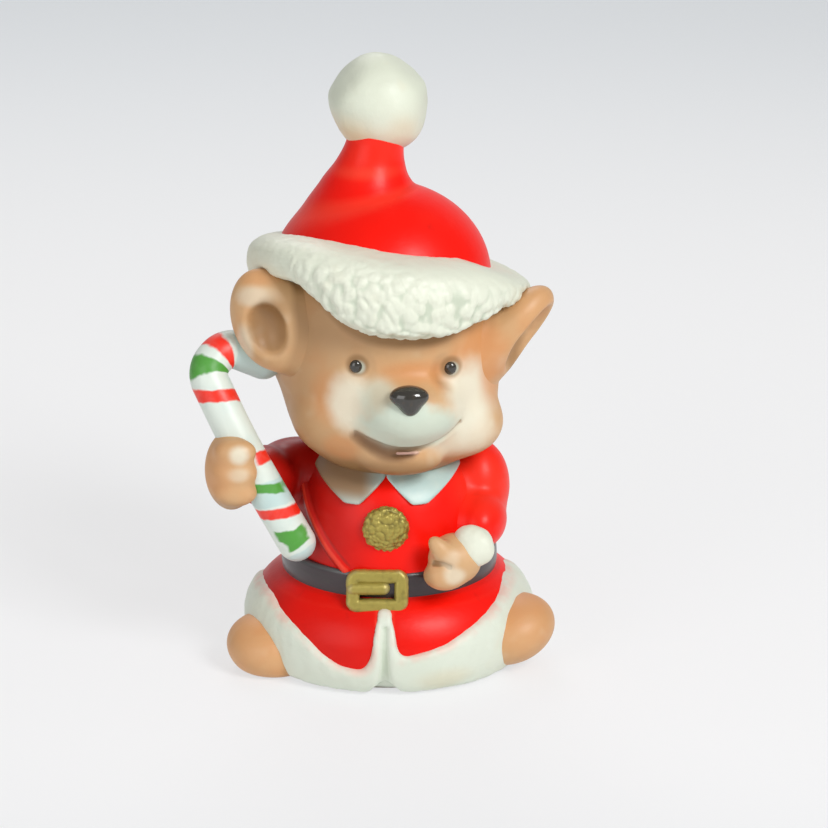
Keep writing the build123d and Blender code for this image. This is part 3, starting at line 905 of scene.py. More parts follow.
class Wiring:
    """Adds nodes to a tree and joins them."""

    def __init__(self, tree):
        self.tree = tree

    def node(self, kind, settings=None, sockets=None):
        """A node with its settings made first, and then its sockets filled or linked."""
        node = self.tree.nodes.new(kind)
        for name, setting in (settings or {}).items():
            setattr(node, name, setting)
        for key, given in (sockets or {}).items():
            socket = node.inputs[key]
            given = given.socket if isinstance(given, Value) else given
            if isinstance(given, bpy.types.NodeSocket):
                self.tree.links.new(given, socket)
            elif socket.type == "RGBA":
                socket.default_value = (*given, 1.0)
            else:
                socket.default_value = given
        return node

    def value(self, kind, settings=None, sockets=None, output=0):
        """One of a new node's outputs, as a number to reckon with."""
        return Value(self, self.node(kind, settings, sockets).outputs[output])

    def vector(self, operation, *parts):
        sockets = dict(enumerate(parts))
        if operation == "SCALE":
            sockets = {0: parts[0], 3: parts[1]}
        return self.node("ShaderNodeVectorMath", {"operation": operation}, sockets).outputs[0]

    def split(self, vector):
        node = self.node("ShaderNodeSeparateXYZ", {}, {0: vector})
        return [Value(self, output) for output in node.outputs]

    def ease(self, value, start, end):
        """0 up to start, 1 from end, and a smooth rise between them."""
        sockets = {0: value, 1: start, 2: end, 3: 0.0, 4: 1.0}
        if start > end:
            sockets = {0: value, 1: end, 2: start, 3: 1.0, 4: 0.0}
        return self.value("ShaderNodeMapRange", {"interpolation_type": "SMOOTHSTEP"}, sockets)

    def noise(self, place, size, detail=2.0, stretch=(1.0, 1.0, 1.0)):
        """Smooth noise from 0 to 1 whose lumps are about size across, or longer where stretched."""
        scaled = self.vector("MULTIPLY", place, tuple(1 / (size * s) for s in stretch))
        return self.value("ShaderNodeTexNoise", {}, {"Vector": scaled, "Scale": 1.0, "Detail": detail})


def new_tree(name, inputs):
    """A geometry tree with named inputs, and the wiring and group input that it starts from."""
    tree = bpy.data.node_groups.new(name, "GeometryNodeTree")
    tree.is_modifier = True
    tree.interface.new_socket("Geometry", in_out="INPUT", socket_type="NodeSocketGeometry")
    for label, kind in inputs.items():
        tree.interface.new_socket(label, in_out="INPUT", socket_type=kind)
    tree.interface.new_socket("Geometry", in_out="OUTPUT", socket_type="NodeSocketGeometry")
    wiring = Wiring(tree)
    return tree, wiring, wiring.node("NodeGroupInput").outputs


def end_tree(wiring, geometry, material):
    """Closes a tree with real geometry that carries its material."""
    real = wiring.node("GeometryNodeRealizeInstances", {}, {0: geometry}).outputs[0]
    sockets = {"Geometry": real, "Material": material}
    painted = wiring.node("GeometryNodeSetMaterial", {}, sockets).outputs[0]
    wiring.node("NodeGroupOutput", {}, {0: painted})


def keep_number(wiring, geometry, name, number, kind="FLOAT"):
    sockets = {"Geometry": geometry, "Name": name, "Value": number}
    return wiring.node("GeometryNodeStoreNamedAttribute", {"data_type": kind}, sockets).outputs[0]


def read_number(wiring, name, kind="FLOAT"):
    node = wiring.node("GeometryNodeInputNamedAttribute", {"data_type": kind}, {"Name": name})
    return node.outputs[0]


@functools.cache
def relief_tree():
    """Raised tufts where a surface is marked for them: long for fur, round for nuggets."""
    inputs = {
        "Width": "NodeSocketFloat",
        "Length": "NodeSocketFloat",
        "Depth": "NodeSocketFloat",
        "Swirl": "NodeSocketFloat",
        "Seed": "NodeSocketInt",
        "Material": "NodeSocketMaterial",
    }
    tree, wiring, given = new_tree("Raised relief", inputs)
    place = wiring.node("GeometryNodeInputPosition").outputs[0]
    width = Value(wiring, given["Width"])
    slow = wiring.vector("SCALE", place, (0.45 / width).socket)
    sockets = {"Vector": slow, "Scale": 1.0, "Detail": 1.0}
    drift = wiring.node("ShaderNodeTexNoise", {}, sockets).outputs["Color"]
    drift = wiring.vector("SUBTRACT", drift, (0.5, 0.5, 0.5))
    drift = wiring.vector("SCALE", drift, given["Swirl"])
    x, y, z = wiring.split(place)
    along = z / given["Length"]
    parts = {0: x / width, 1: y / width, 2: along}
    stretched = wiring.node("ShaderNodeCombineXYZ", {}, parts).outputs[0]
    stretched = wiring.vector("ADD", stretched, drift)
    shift = wiring.node("ShaderNodeCombineXYZ", {}, {0: Value(wiring, given["Seed"]) * 7.31}).outputs[0]
    stretched = wiring.vector("ADD", stretched, shift)
    sockets = {"Vector": stretched, "Scale": 1.0, "Smoothness": 0.25, "Randomness": 1.0}
    lumps = wiring.value("ShaderNodeTexVoronoi", {"feature": "SMOOTH_F1"}, sockets)
    strands = wiring.vector("MULTIPLY", stretched, (2.7, 2.7, 0.8))
    lines = wiring.value("ShaderNodeTexNoise", {}, {"Vector": strands, "Scale": 1.0, "Detail": 1.5})
    height = wiring.ease(1.0 - lumps, 0.1, 0.85) * 0.75 + lines * 0.35
    tufts = Value(wiring, read_number(wiring, "tufts"))
    rise = (height - 0.55) * tufts * given["Depth"]
    normal = wiring.node("GeometryNodeInputNormal").outputs[0]
    marked = keep_number(wiring, given["Geometry"], "relief", (height * tufts + (1.0 - tufts) * 0.6).socket)
    sockets = {"Geometry": marked, "Offset": wiring.vector("SCALE", normal, rise.socket)}
    raised = wiring.node("GeometryNodeSetPosition", {}, sockets).outputs[0]
    end_tree(wiring, raised, given["Material"])
    return tree


@functools.cache
def stick_tree():
    """A round stick with rounded ends along a curve, marked with its length along and its side."""
    inputs = {
        "Radius": "NodeSocketFloat",
        "Sides": "NodeSocketInt",
        "Step": "NodeSocketFloat",
        "Material": "NodeSocketMaterial",
    }
    tree, wiring, given = new_tree("Stick along a curve", inputs)
    radius = Value(wiring, given["Radius"])
    sockets = {"Curve": given["Geometry"], "Length": given["Step"]}
    line = wiring.node("GeometryNodeResampleCurve", {"mode": "LENGTH"}, sockets).outputs[0]
    run = Value(wiring, wiring.node("GeometryNodeSplineParameter").outputs["Length"])
    whole = Value(wiring, wiring.node("GeometryNodeSplineLength").outputs["Length"])
    line = keep_number(wiring, line, "along", run.socket)
    spot = wiring.node("GeometryNodeInputPosition").outputs[0]
    line = keep_number(wiring, line, "core", spot, "FLOAT_VECTOR")
    to_end = 1.0 - (run.at_most(whole - run) / radius).at_most(1.0)
    fullness = (1.0 - to_end * to_end).at_least(0.0004).root()
    sockets = {"Radius": radius, "Resolution": given["Sides"]}
    ring = wiring.node("GeometryNodeCurvePrimitiveCircle", {}, sockets).outputs[0]
    sockets = {"Curve": line, "Profile Curve": ring, "Scale": fullness, "Fill Caps": True}
    stick = wiring.node("GeometryNodeCurveToMesh", {}, sockets).outputs[0]
    core = read_number(wiring, "core", "FLOAT_VECTOR")
    side = wiring.split(wiring.vector("SUBTRACT", spot, core))[0] / radius
    stick = keep_number(wiring, stick, "side", side.socket)
    stick = wiring.node("GeometryNodeMergeByDistance", {}, {"Geometry": stick, "Distance": 1e-6}).outputs[0]
    stick = wiring.node("GeometryNodeSetShadeSmooth", {}, {"Geometry": stick}).outputs[0]
    end_tree(wiring, stick, given["Material"])
    return tree


def run_tree(thing, tree, settings):
    """The mesh that a tree makes of an object, with the modifier and the object removed."""
    modifier = thing.modifiers.new(tree.name, "NODES")
    modifier.node_group = tree
    named = {item.name: item.identifier for item in tree.interface.items_tree if item.in_out == "INPUT"}
    for name, setting in settings.items():
        modifier[named[name]] = setting
    bpy.context.view_layer.update()
    depsgraph = bpy.context.evaluated_depsgraph_get()
    evaluated = thing.evaluated_get(depsgraph)
    mesh = bpy.data.meshes.new_from_object(evaluated, preserve_all_data_layers=True, depsgraph=depsgraph)
    thing.modifiers.remove(modifier)
    bpy.data.objects.remove(thing)
    return mesh


def with_relief(mesh, material, width, height, depth, swirl, seed):
    """The mesh with tufts raised on it. Their sizes are in millimetres."""
    thing = bpy.data.objects.new("relief_blank", mesh)
    bpy.context.scene.collection.objects.link(thing)
    lengths = {"Width": width * MM, "Length": height * MM, "Depth": depth * MM}
    settings = {**lengths, "Swirl": swirl, "Seed": seed, "Material": material}
    return run_tree(thing, relief_tree(), settings)


# Finishes

class Finish(Wiring):
    """A painted finish: its shader, and the places and ridges of its surface in millimetres."""

    def __init__(self, name, roughness, coat=0.0, coat_roughness=0.2, metallic=0.0):
        self.material = bpy.data.materials.new(name)
        self.material.use_nodes = True
        super().__init__(self.material.node_tree)
        self.tree.nodes.clear()
        sockets = {"Roughness": roughness, "Metallic": metallic}
        sockets.update({"Coat Weight": coat, "Coat Roughness": coat_roughness})
        self.shader = self.node("ShaderNodeBsdfPrincipled", {}, sockets)
        self.node("ShaderNodeOutputMaterial", {}, {"Surface": self.shader.outputs[0]})
        metres = self.node("ShaderNodeTexCoord").outputs["Object"]
        self.place = self.vector("SCALE", metres, 1 / MM)
        self.x, self.y, self.z = self.split(self.place)

    def marked(self, name):
        """A number kept at the vertices."""
        return self.value("ShaderNodeAttribute", {"attribute_name": name}, {}, "Fac")

    def mix(self, under, over, amount):
        """One colour laid over another."""
        sockets = {0: amount, 6: under, 7: over}
        return self.node("ShaderNodeMix", {"data_type": "RGBA"}, sockets).outputs[2]

    def spot(self, centre, half_sizes, soft=0.3, ragged=0.0, size=2.0):
        """1 inside an ellipsoid, fading to 0 past its edge, which noise can make ragged."""
        local = self.vector("DIVIDE", self.vector("SUBTRACT", self.place, tuple(centre)), tuple(half_sizes))
        reach = self.value("ShaderNodeVectorMath", {"operation": "LENGTH"}, {0: local}, 1)
        if ragged:
            reach = reach + (self.noise(self.place, size) - 0.5) * ragged
        return self.ease(reach, 1 + soft, 1 - soft)

    def bump(self, height, depth):
        """Fine relief that is too small for the mesh. Its depth is in millimetres."""
        return self.node("ShaderNodeBump", {}, {"Height": height, "Distance": depth * MM}).outputs[0]

    def lay(self, base_colour, roughness=None, normal=None):
        """Joins the paint to the shader, and returns the material."""
        self.tree.links.new(base_colour, self.shader.inputs["Base Color"])
        if roughness is not None:
            self.tree.links.new(roughness.socket, self.shader.inputs["Roughness"])
        if normal is not None:
            self.tree.links.new(normal, self.shader.inputs["Normal"])
        return self.material


def paints():
    return bpy.context.scene.figurine_paints


@functools.cache
def red_finish():
    """Brushed red: lighter on the ridges, where the paint is thin and a highlight is painted, and darker in
    the creases, as painted shade.
    """
    p = paints()
    f = Finish("coat_red", 0.36, coat=0.04, coat_roughness=0.22)
    f.shader.inputs["Specular IOR Level"].default_value = 0.2
    ridge = f.marked("ridge")
    strokes = f.noise(f.place, 3.2, 3.0, stretch=(1.0, 1.0, 2.6))
    base = f.mix(p.red, p.red_deep, f.ease(strokes, 0.62, 0.95) * 0.35)
    base = f.mix(base, p.red_light, f.ease(f.noise(f.place, 7.0), 0.55, 0.85) * 0.06)
    # Painted shade: the red deepens towards the figurine's right, away from the light
    base = f.mix(base, p.red_deep, f.ease(f.x, 2.0, -22.0) * 0.30)
    # Painted highlight along the fold between the hat's dome and its tip
    base = f.mix(base, p.red_light, f.marked("fold") * f.ease(f.x, 8.0, 2.0) * 0.3)
    # Spots of painted highlight and painted shade
    for paint, centre, half_sizes, amount, soft in RED_SPOTS:
        base = f.mix(base, getattr(p, paint), f.spot(centre, half_sizes, soft) * amount)
    # Thin paint and a painted highlight on the ridges, and painted shade in the creases
    base = f.mix(base, p.red_light, f.ease(ridge, 0.35, 1.3) * 0.55)
    base = f.mix(base, p.red_deep, f.ease(ridge, -0.15, -1.2) * 0.75)
    rough = 0.30 + strokes * 0.16
    return f.lay(base, rough, f.bump(f.noise(f.place, 1.1, 2.0), 0.03))


@functools.cache
def fur_finish(name, stains_and_shade=(), wash=0.0, bleeds=False, hollows=0.55, cool=0.0):
    """Off-white with painted shade in its hollows and creases. Each warm beige spot is a stain, on the
    pompom partly painted shade: middle, half sizes, amount.
    """
    p = paints()
    f = Finish(name, 0.5, coat=0.08, coat_roughness=0.35)
    relief = f.marked("relief")
    ridge = f.marked("ridge")
    base = f.mix(p.fur, p.collar, cool)
    # Painted shade in the relief's hollows; wash adds an even grey tone over the whole piece
    base = f.mix(base, p.fur_shade, f.ease(relief, 0.55, 0.15) * hollows + wash)
    base = f.mix(base, p.fur_shade, f.ease(f.noise(f.place, 9.0, 1.0), 0.45, 0.8) * 0.12)
    # Painted shade in the creases
    base = f.mix(base, p.fur_shade, f.ease(ridge, -0.2, -1.4) * 0.6)
    base = f.mix(base, p.warm_stain_and_shade, f.ease(f.noise(f.place, 4.0, 1.0), 0.62, 0.85) * 0.1)
    # Warm beige spots: stains, and on the pompom partly painted shade
    for centre, half_sizes, amount in stains_and_shade:
        base = f.mix(base, p.warm_stain_and_shade, f.spot(centre, half_sizes, 0.6, 0.5, 5.0) * amount)
    if bleeds:
        edge = (1.0 - f.marked("inner")) * f.ease(f.noise(f.place, 3.0), 0.3, 0.7)
        base = f.mix(base, p.red_light, edge * 0.3)
    rough = 0.44 + f.noise(f.place, 2.0) * 0.14
    return f.lay(base, rough, f.bump(f.noise(f.place, 0.7, 3.0), 0.05))


def tan_ground(f):
    """Airbrushed tan with soft cloudy changes, and brown painted shade in the creases."""
    p = paints()
    clouds = f.noise(f.place, 7.0, 2.0)
    base = f.mix(p.tan, p.orange, f.ease(clouds, 0.45, 0.8) * 0.4)
    base = f.mix(base, p.cream, f.ease(f.noise(f.place, 4.5, 1.0), 0.58, 0.9) * 0.3)
    # Painted shade: brown in the creases
    return f.mix(base, p.brown, f.ease(f.marked("ridge"), -0.1, -1.1) * 0.65)


def head_ground(f):
    """Tan that turns brown towards the figurine's right as painted shade, and under the hat as brown paint
    and painted shadow.
    """
    p = paints()
    # Painted shade: brown towards the figurine's right, away from the light
    base = f.mix(tan_ground(f), p.brown, f.ease(f.x, 2.0, -19.0) * 0.38)
    # Under the hat band: brown paint and painted shadow, high on the head and along the shade mark
    base = f.mix(base, p.brown, f.ease(f.z, 56.0, 64.0) * 0.35)
    return f.mix(base, p.brown, f.marked("shade") * 0.75)


def airbrush(f, base, spots):
    """Soft spots over a ground. Each is a paint's name, its middle, its half sizes and its amount."""
    for paint, centre, half_sizes, amount in spots:
        mask = f.spot(centre, half_sizes, 0.45, 0.35, 2.5)
        base = f.mix(base, getattr(paints(), paint), mask * amount)
    return base


def lay_satin(f, base):
    """Joins a colour to its shader with the faint, uneven gloss of the tan parts."""
    rough = 0.46 + f.noise(f.place, 2.0) * 0.12
    return f.lay(base, rough, f.bump(f.noise(f.place, 0.8, 3.0), 0.04))


@functools.cache
def tan_finish(name, spots, on_head=False):
    """Airbrushed tan with spots, over the head's own ground where an ear grows from it."""
    f = Finish(name, 0.5, coat=0.1, coat_roughness=0.35)
    base = tan_ground(f)
    if on_head:
        base = f.mix(base, head_ground(f), f.marked("root"))
    return lay_satin(f, airbrush(f, base, spots))


@functools.cache
def black_finish():
    """Thick gloss black with a brown cast where it thins at the edge."""
    p = paints()
    f = Finish("gloss_black", 0.2, coat=0.6, coat_roughness=0.1)
    base = f.mix(p.black, p.brown, f.ease(f.noise(f.place, 1.2), 0.55, 0.9) * 0.12)
    return f.lay(base, 0.1 + f.noise(f.place, 1.0) * 0.08)


@functools.cache
def collar_finish():
    """Pale blue-white, with beige-brown painted shade under the chin on the figurine's right, and painted
    shade in its creases.
    """
    p = paints()
    f = Finish("collar_blue", 0.42, coat=0.15, coat_roughness=0.3)
    base = f.mix(p.collar, p.fur, f.ease(f.noise(f.place, 3.0), 0.4, 0.8) * 0.25)
    # Painted shade under the chin
    base = f.mix(base, p.brown, f.ease(f.z, 31.5, 35.0) * f.ease(f.x, 0.0, -5.0) * 0.9)
    # Painted shade in the creases
    base = f.mix(base, p.fur_shade, f.ease(f.marked("ridge"), -0.2, -1.2) * 0.5)
    return f.lay(base, 0.38 + f.noise(f.place, 2.0) * 0.12, f.bump(f.noise(f.place, 0.8), 0.03))


@functools.cache
def belt_finish():
    """Dark brown with brush streaks round the waist, and a paler edge where the paint is rubbed and a
    highlight is painted.
    """
    p = paints()
    f = Finish("belt_brown", 0.32, coat=0.3, coat_roughness=0.2)
    streaks = f.noise(f.place, 1.4, 2.0, stretch=(3.0, 3.0, 0.6))
    base = f.mix(p.belt, p.black, f.ease(streaks, 0.5, 0.8) * 0.5)
    # Paler ridges: rubbed paint and a painted highlight
    base = f.mix(base, p.collar, f.ease(f.marked("ridge"), 0.6, 1.8) * 0.22)
    return f.lay(base, 0.26 + streaks * 0.16, f.bump(streaks, 0.05))


@functools.cache
def gold_finish():
    """Antique gold: metal paint on the high places, an olive wash in the hollows."""
    p = paints()
    f = Finish("antique_gold", 0.45, coat=0.05, coat_roughness=0.3, metallic=0.45)
    relief = f.marked("relief")
    base = f.mix(p.gold, p.gold_shade, f.ease(relief, 0.5, 0.1) * 0.75)
    base = f.mix(base, p.gold_shade, f.ease(f.noise(f.place, 1.5), 0.5, 0.8) * 0.45)
    base = f.mix(base, p.gold_shade, f.ease(f.marked("ridge"), 0.1, -0.9) * 0.6)
    base = f.mix(base, p.cream, f.ease(f.marked("ridge"), 1.1, 2.6) * 0.3)
    return f.lay(base, 0.36 + f.noise(f.place, 1.0) * 0.2, f.bump(f.noise(f.place, 0.5, 2.0), 0.05))


@functools.cache
def bisque_finish():
    """The unpainted, slightly grainy underside."""
    p = paints()
    f = Finish("bare_bisque", 0.7)
    base = f.mix(p.bisque, p.warm_stain_and_shade, f.ease(f.noise(f.place, 5.0), 0.5, 0.9) * 0.4)
    base = f.mix(base, p.fur_shade, f.ease(f.noise(f.place, 0.6, 1.0), 0.62, 0.75) * 0.4)
    return f.lay(base, 0.62 + f.noise(f.place, 1.0) * 0.2, f.bump(f.noise(f.place, 0.5, 3.0), 0.08))


@functools.cache
def cane_finish():
    """White with hand-painted bands and leaves."""
    p = paints()
    f = Finish("cane_stripes", 0.42, coat=0.12, coat_roughness=0.3)
    along = f.marked("along") / MM
    side = f.marked("side")
    wander = f.noise(f.place, 2.2, 2.0) - 0.5
    base = f.mix(p.cane, p.cane_blue, f.ease(f.noise(f.place, 5.0), 0.4, 0.8) * 0.4)
    for paint, centre, half_width, slant, first, last in CANE_BANDS:
        gap = abs(along + side * slant + wander * 0.9 - centre)
        band = f.ease(gap, half_width + 0.22, half_width - 0.22)
        at = side + wander * 0.5
        band = band * f.ease(at, first - 0.12, first + 0.12) * f.ease(at, last + 0.12, last - 0.12)
        strength = 1.0 if paint != "cane_blue" else 0.8
        base = f.mix(base, getattr(p, paint), band * (strength + wander * 0.25))
    return f.lay(base, 0.38 + f.noise(f.place, 2.0) * 0.12, f.bump(f.noise(f.place, 0.9), 0.03))


@functools.cache
def face_finish():
    """The face: tan, with cream cheeks and muzzle, warm patches, painted lids, the open mouth, and painted
    shade under the mouth and in the creases round the muzzle.
    """
    p = paints()
    head = bpy.context.scene.figurine_head
    form = head_form(head)
    f = Finish("face_paint", 0.5, coat=0.1, coat_roughness=0.35)
    base = head_ground(f)

    def dab(base, paint, x, z, half_x, half_z, amount, soft, ragged=0.35):
        centre = on_front(form, x, z)
        mask = f.spot(centre, (half_x, max(half_x, half_z) * 1.4, half_z), soft, ragged, 3.0)
        return f.mix(base, getattr(p, paint), mask * amount)

    # Painted shade: brown under the mouth and on the chin
    base = f.mix(base, p.brown, f.ease(f.z, 44.0, 37.0) * 0.75)
    base = airbrush(f, base, (LEFT_TEMPLE,))
    for row in FACE_DABS:
        base = dab(base, *row)
    for eye in (mm(head.eye_right_middle), mm(head.eye_left_middle)):
        for paint, across, up, *rest in LID_DABS:
            base = dab(base, paint, eye[0] + across, eye[2] + up, *rest, ragged=0.1)
    # Painted shade in the creases low on the front of the face
    crease = f.ease(f.marked("ridge"), -0.6, -2.2) * f.ease(f.z, 50.0, 47.5) * f.ease(f.y, -12.0, -15.0)
    base = f.mix(base, p.brown, crease * 0.7)
    base = f.mix(base, p.mouth, f.marked("mouth") * 0.95)
    base = f.mix(base, p.lip, f.ease(f.marked("lip"), 0.0, 0.7) * 0.7)
    return lay_satin(f, base)


# Forms that several pieces share

def skirt_form(coat, grow=0.0):
    half_sizes = mm(coat.skirt_half) + grow
    return bell(0.0, mm(coat.skirt_height), half_sizes, SKIRT_SHARES, mm(coat.setback))


def bodice_form(coat, grow=0.0):
    """The bodice, whose lower edge rolls over the belt."""
    half_sizes = mm(coat.bodice_half) + grow
    bottom, height = mm(coat.skirt_height), mm(coat.bodice_height)
    return bell(bottom, height, half_sizes, BODICE_SHARES, mm(coat.setback), 1.2)


def notch_form(coat, grow=0.0, straight=False):
    """The crease between the coat's front edges, which opens towards the table unless it is straight."""
    shell = skirt_form(coat, 0.3)
    ups = np.linspace(0.0, 1.0, 24)
    line = [on_front(shell, mm(coat.notch_place), max(up * mm(coat.notch_height), 0.5)) for up in ups]
    line[0][2] = -1.0
    if straight:
        return rod(line, mm(coat.edge_fur) * curve_through(EDGE_FUR_SHARES)(ups))
    radii = curve_through(NOTCH_SHARES)(ups) * mm(coat.notch_radius) + grow
    return rod(line, radii).without(skirt_form(coat, -0.45 * mm(coat.wall) - grow))


def fur_region(coat):
    """Where the skirt is fur: along the hem, higher over the feet, and up the front edges."""
    edge = curve_through(HEM_SHARES)
    setback, height, reach = mm(coat.setback), mm(coat.skirt_height), 2 * mm(coat.skirt_half)[0]

    def distance(p):
        angle = np.degrees(np.arctan2(p[:, 0], -p[:, 1] - setback))
        return 0.8 * (p[:, 2] - edge(angle) * height)
    hem = Form(distance, (-reach, -reach, -1), (reach, reach, height))
    return hem.joined(notch_form(coat, straight=True), 2.5)


def head_form(head):
    """The head's outside: cranium, jaw, snout and cheeks, run together."""
    cap = ellipsoid(mm(head.cranium_middle) + (-1.0, -0.5, 8.5), mm(head.cranium_half) * (0.9, 0.93, 0.46))
    form = egg(head, "cranium").joined(egg(head, "jaw"), 2.4).joined(cap, 3.0)
    form = form.joined(egg(head, "snout"), 2.4)
    for side in SIDES:
        form = form.joined(egg(head, "cheek_" + side, "cheek"), 1.8)
    return form


def ear_whole(head, side):
    """An ear's whole egg, before its cup is scooped out."""
    return egg(head, "ear_" + side, "ear")


def ear_place(head, side, shift):
    """A point that is given in an ear's own directions, from its middle."""
    matrix = turned(getattr(head, f"ear_{side}_turn"))
    return mm(getattr(head, f"ear_{side}_middle")) + matrix @ np.array(shift)


def tip_form(hat):
    """The hat's bent tip."""
    foot, height, size = mm(hat.tip_foot), mm(hat.tip_height), mm(hat.tip_radius)
    across, back, radius = curves_through(TIP_SHARES)

    def distance(p):
        up = (p[:, 2] - foot[2]) / height
        side = np.hypot(p[:, 0] - foot[0] - across(up) * size, p[:, 1] - foot[1] - back(up) * size)
        wall = (side - radius(up) * size) * 0.8
        return np.maximum(wall, np.maximum(foot[2] - 3 - p[:, 2], p[:, 2] - foot[2] - height - 2))
    reach = 1.3 * size
    return Form(distance, foot + (-reach - 0.4 * size, -reach, -3), foot + (reach, reach, height + 2))


def crown_form(hat):
    """The hat's dome with its tip."""
    return egg(hat, "crown").joined(tip_form(hat), 0.5)


def band_form(hat):
    """The thick fur roll, a crescent that is deepest over the forehead."""
    centre, half_sizes = mm(hat.band_middle), mm(hat.band_half)
    matrix = turned(hat.band_turn)
    size = curve_through(BAND_SHARES)
    below_middle, above_middle = curves_through(BAND_EDGE_SHARES)

    def distance(p):
        local = (p - centre) @ matrix
        angle = np.degrees(np.arctan2(local[:, 0], -local[:, 1]))
        low, high = below_middle(angle) * half_sizes[2], above_middle(angle) * half_sizes[2]
        half_height = (low + high) / 2
        up = local[:, 2] - (high - low) / 2
        across = size(up / half_height)
        side = oval(local[:, 0], local[:, 1], half_sizes[0] * across, half_sizes[1] * across)
        return -least(-side, half_height - abs(up), 1.5) * 0.85
    reach = half_sizes + (1, 1, 5)
    return Form(distance, centre - reach, centre + reach)


def belt_form(coat, trim, grow=0.0):
    half_sizes = mm(coat.skirt_half) * SKIRT_SHARES[-1][1] + mm(trim.belt_thickness) + grow
    height = mm(trim.belt_height)
    bottom = mm(coat.skirt_height) - mm(trim.belt_drop) - height / 2
    return bell(bottom, height, half_sizes, BELT_SHARES, mm(coat.setback), 0.8)


def casting_step(fine=False):
    casting = bpy.context.scene.figurine_casting
    return mm(casting.fine_step if fine else casting.step)


def near(place, *shift):
    """A stored place, moved by a shift in millimetres."""
    return tuple(mm(place) + shift)


# Operators

class MakeBase(Operator):
    """Give the flat underside its bare finish"""

    bl_idname = "figurine.make_base"
    bl_label = "Base"

    def execute(self, context):
        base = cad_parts["base_slab"]
        base.data.materials.clear()
        base.data.materials.append(bisque_finish())
        return {"FINISHED"}


class MakeSkirt(Operator):
    """Make the coat's red bell and its fur hem"""

    bl_idname = "figurine.make_skirt"
    bl_label = "Skirt and hem"

    def execute(self, context):
        coat = context.scene.figurine_coat
        hollow = skirt_form(coat, -mm(coat.wall))
        region = fur_region(coat)
        skirt = skirt_form(coat).within(above(SKIRT_FOOT)).without(hollow)
        groove = notch_form(coat, 0.6).within(below(RED_CREASE * mm(coat.notch_height)))
        skirt = skirt.without(groove, 0.8)
        make_piece("coat_skirt", skirt, casting_step(), "coat_red", red_finish())
        fur = skirt_form(coat, mm(coat.fur_proud)).within(above(0.0), 2.0).within(region, 1.2)
        groove = notch_form(coat).within(below(FUR_CREASE * mm(coat.notch_height)))
        fur = fur.without(groove, 1.7).without(skirt_form(coat, -0.9 * mm(coat.wall)))
        finish = fur_finish("hem_white", HEM_STAINS, bleeds=True, hollows=0.28, cool=0.22)
        make_piece("hem_fur", fur, casting_step(), "trim_white", finish, HEM_RELIEF, HEM_TUFTS,
                   {"inner": region.grown(-0.7)})
        return {"FINISHED"}


class MakeFeet(Operator):
    """Make the two feet that look out from under the hem"""

    bl_idname = "figurine.make_feet"
    bl_label = "Feet"

    def execute(self, context):
        coat = context.scene.figurine_coat
        for side in SIDES:
            name = "foot_" + side
            form = egg(coat, name, "foot").within(above(0.0), 1.2)
            top = near(getattr(coat, name + "_middle"), 0, 0, 2.0)
            finish = tan_finish(name + "_tan", (("orange", top, (9.0, 9.0, 6.0), 0.5),))
            make_piece(name, form, casting_step(True), "fur_tan", finish)
        return {"FINISHED"}


class MakeBodice(Operator):
    """Make the coat's bodice and its two-pointed collar"""

    bl_idname = "figurine.make_bodice"
    bl_label = "Bodice and collar"

    def execute(self, context):
        coat, trim = context.scene.figurine_coat, context.scene.figurine_trim
        whole = bodice_form(coat)
        piping = rod(front_line(whole.grown(-0.1), PIPING_PLACES), PIPING_RADIUS)
        bodice = whole.joined(piping, 0.6).without(bodice_form(coat, -mm(coat.wall)))
        make_piece("coat_bodice", bodice, casting_step(), "coat_red", red_finish())
        for side in SIDES:
            form = self.collar(coat, trim, side)
            make_piece("collar_" + side, form, casting_step(True), "collar_blue", collar_finish())
        return {"FINISHED"}

    def collar(self, coat, trim, side):
        """One pointed half in front, and its half of the band round the neck."""
        out = OUTWARD[side]
        seam = mm(trim.button_middle)[0]
        edge, rounding = mm(trim.collar_edge), LOBE_ROUNDING
        corners = []
        for across, up in LOBE_SHARES:
            x = seam + out * (across * mm(trim.lobe_width) + (rounding if across == 0 else 0))
            corners.append((x, edge + up * mm(trim.lobe_drop) + (rounding if up < 0 else 0)))
        lobe = outline(corners, rounding, 2 * mm(coat.bodice_half)[1])

        def band_distance(p):
            height = edge + (p[:, 1] + mm(coat.bodice_half)[1]) * COLLAR_SLOPE
            return np.maximum(height - p[:, 2], -out * (p[:, 0] - seam))
        reach = mm(coat.bodice_half)[0] + 2
        low, high = sorted((seam, seam + out * reach))
        band = Form(band_distance, (low, -reach - 2, edge - 1), (high, reach, edge + 6))
        region = lobe.joined(band, 1.0)
        thick = mm(trim.collar_thickness)
        whole = bodice_form(coat, thick).within(region, 0.7).without(bodice_form(coat, -0.5))
        return whole.within(below(COLLAR_TOP))


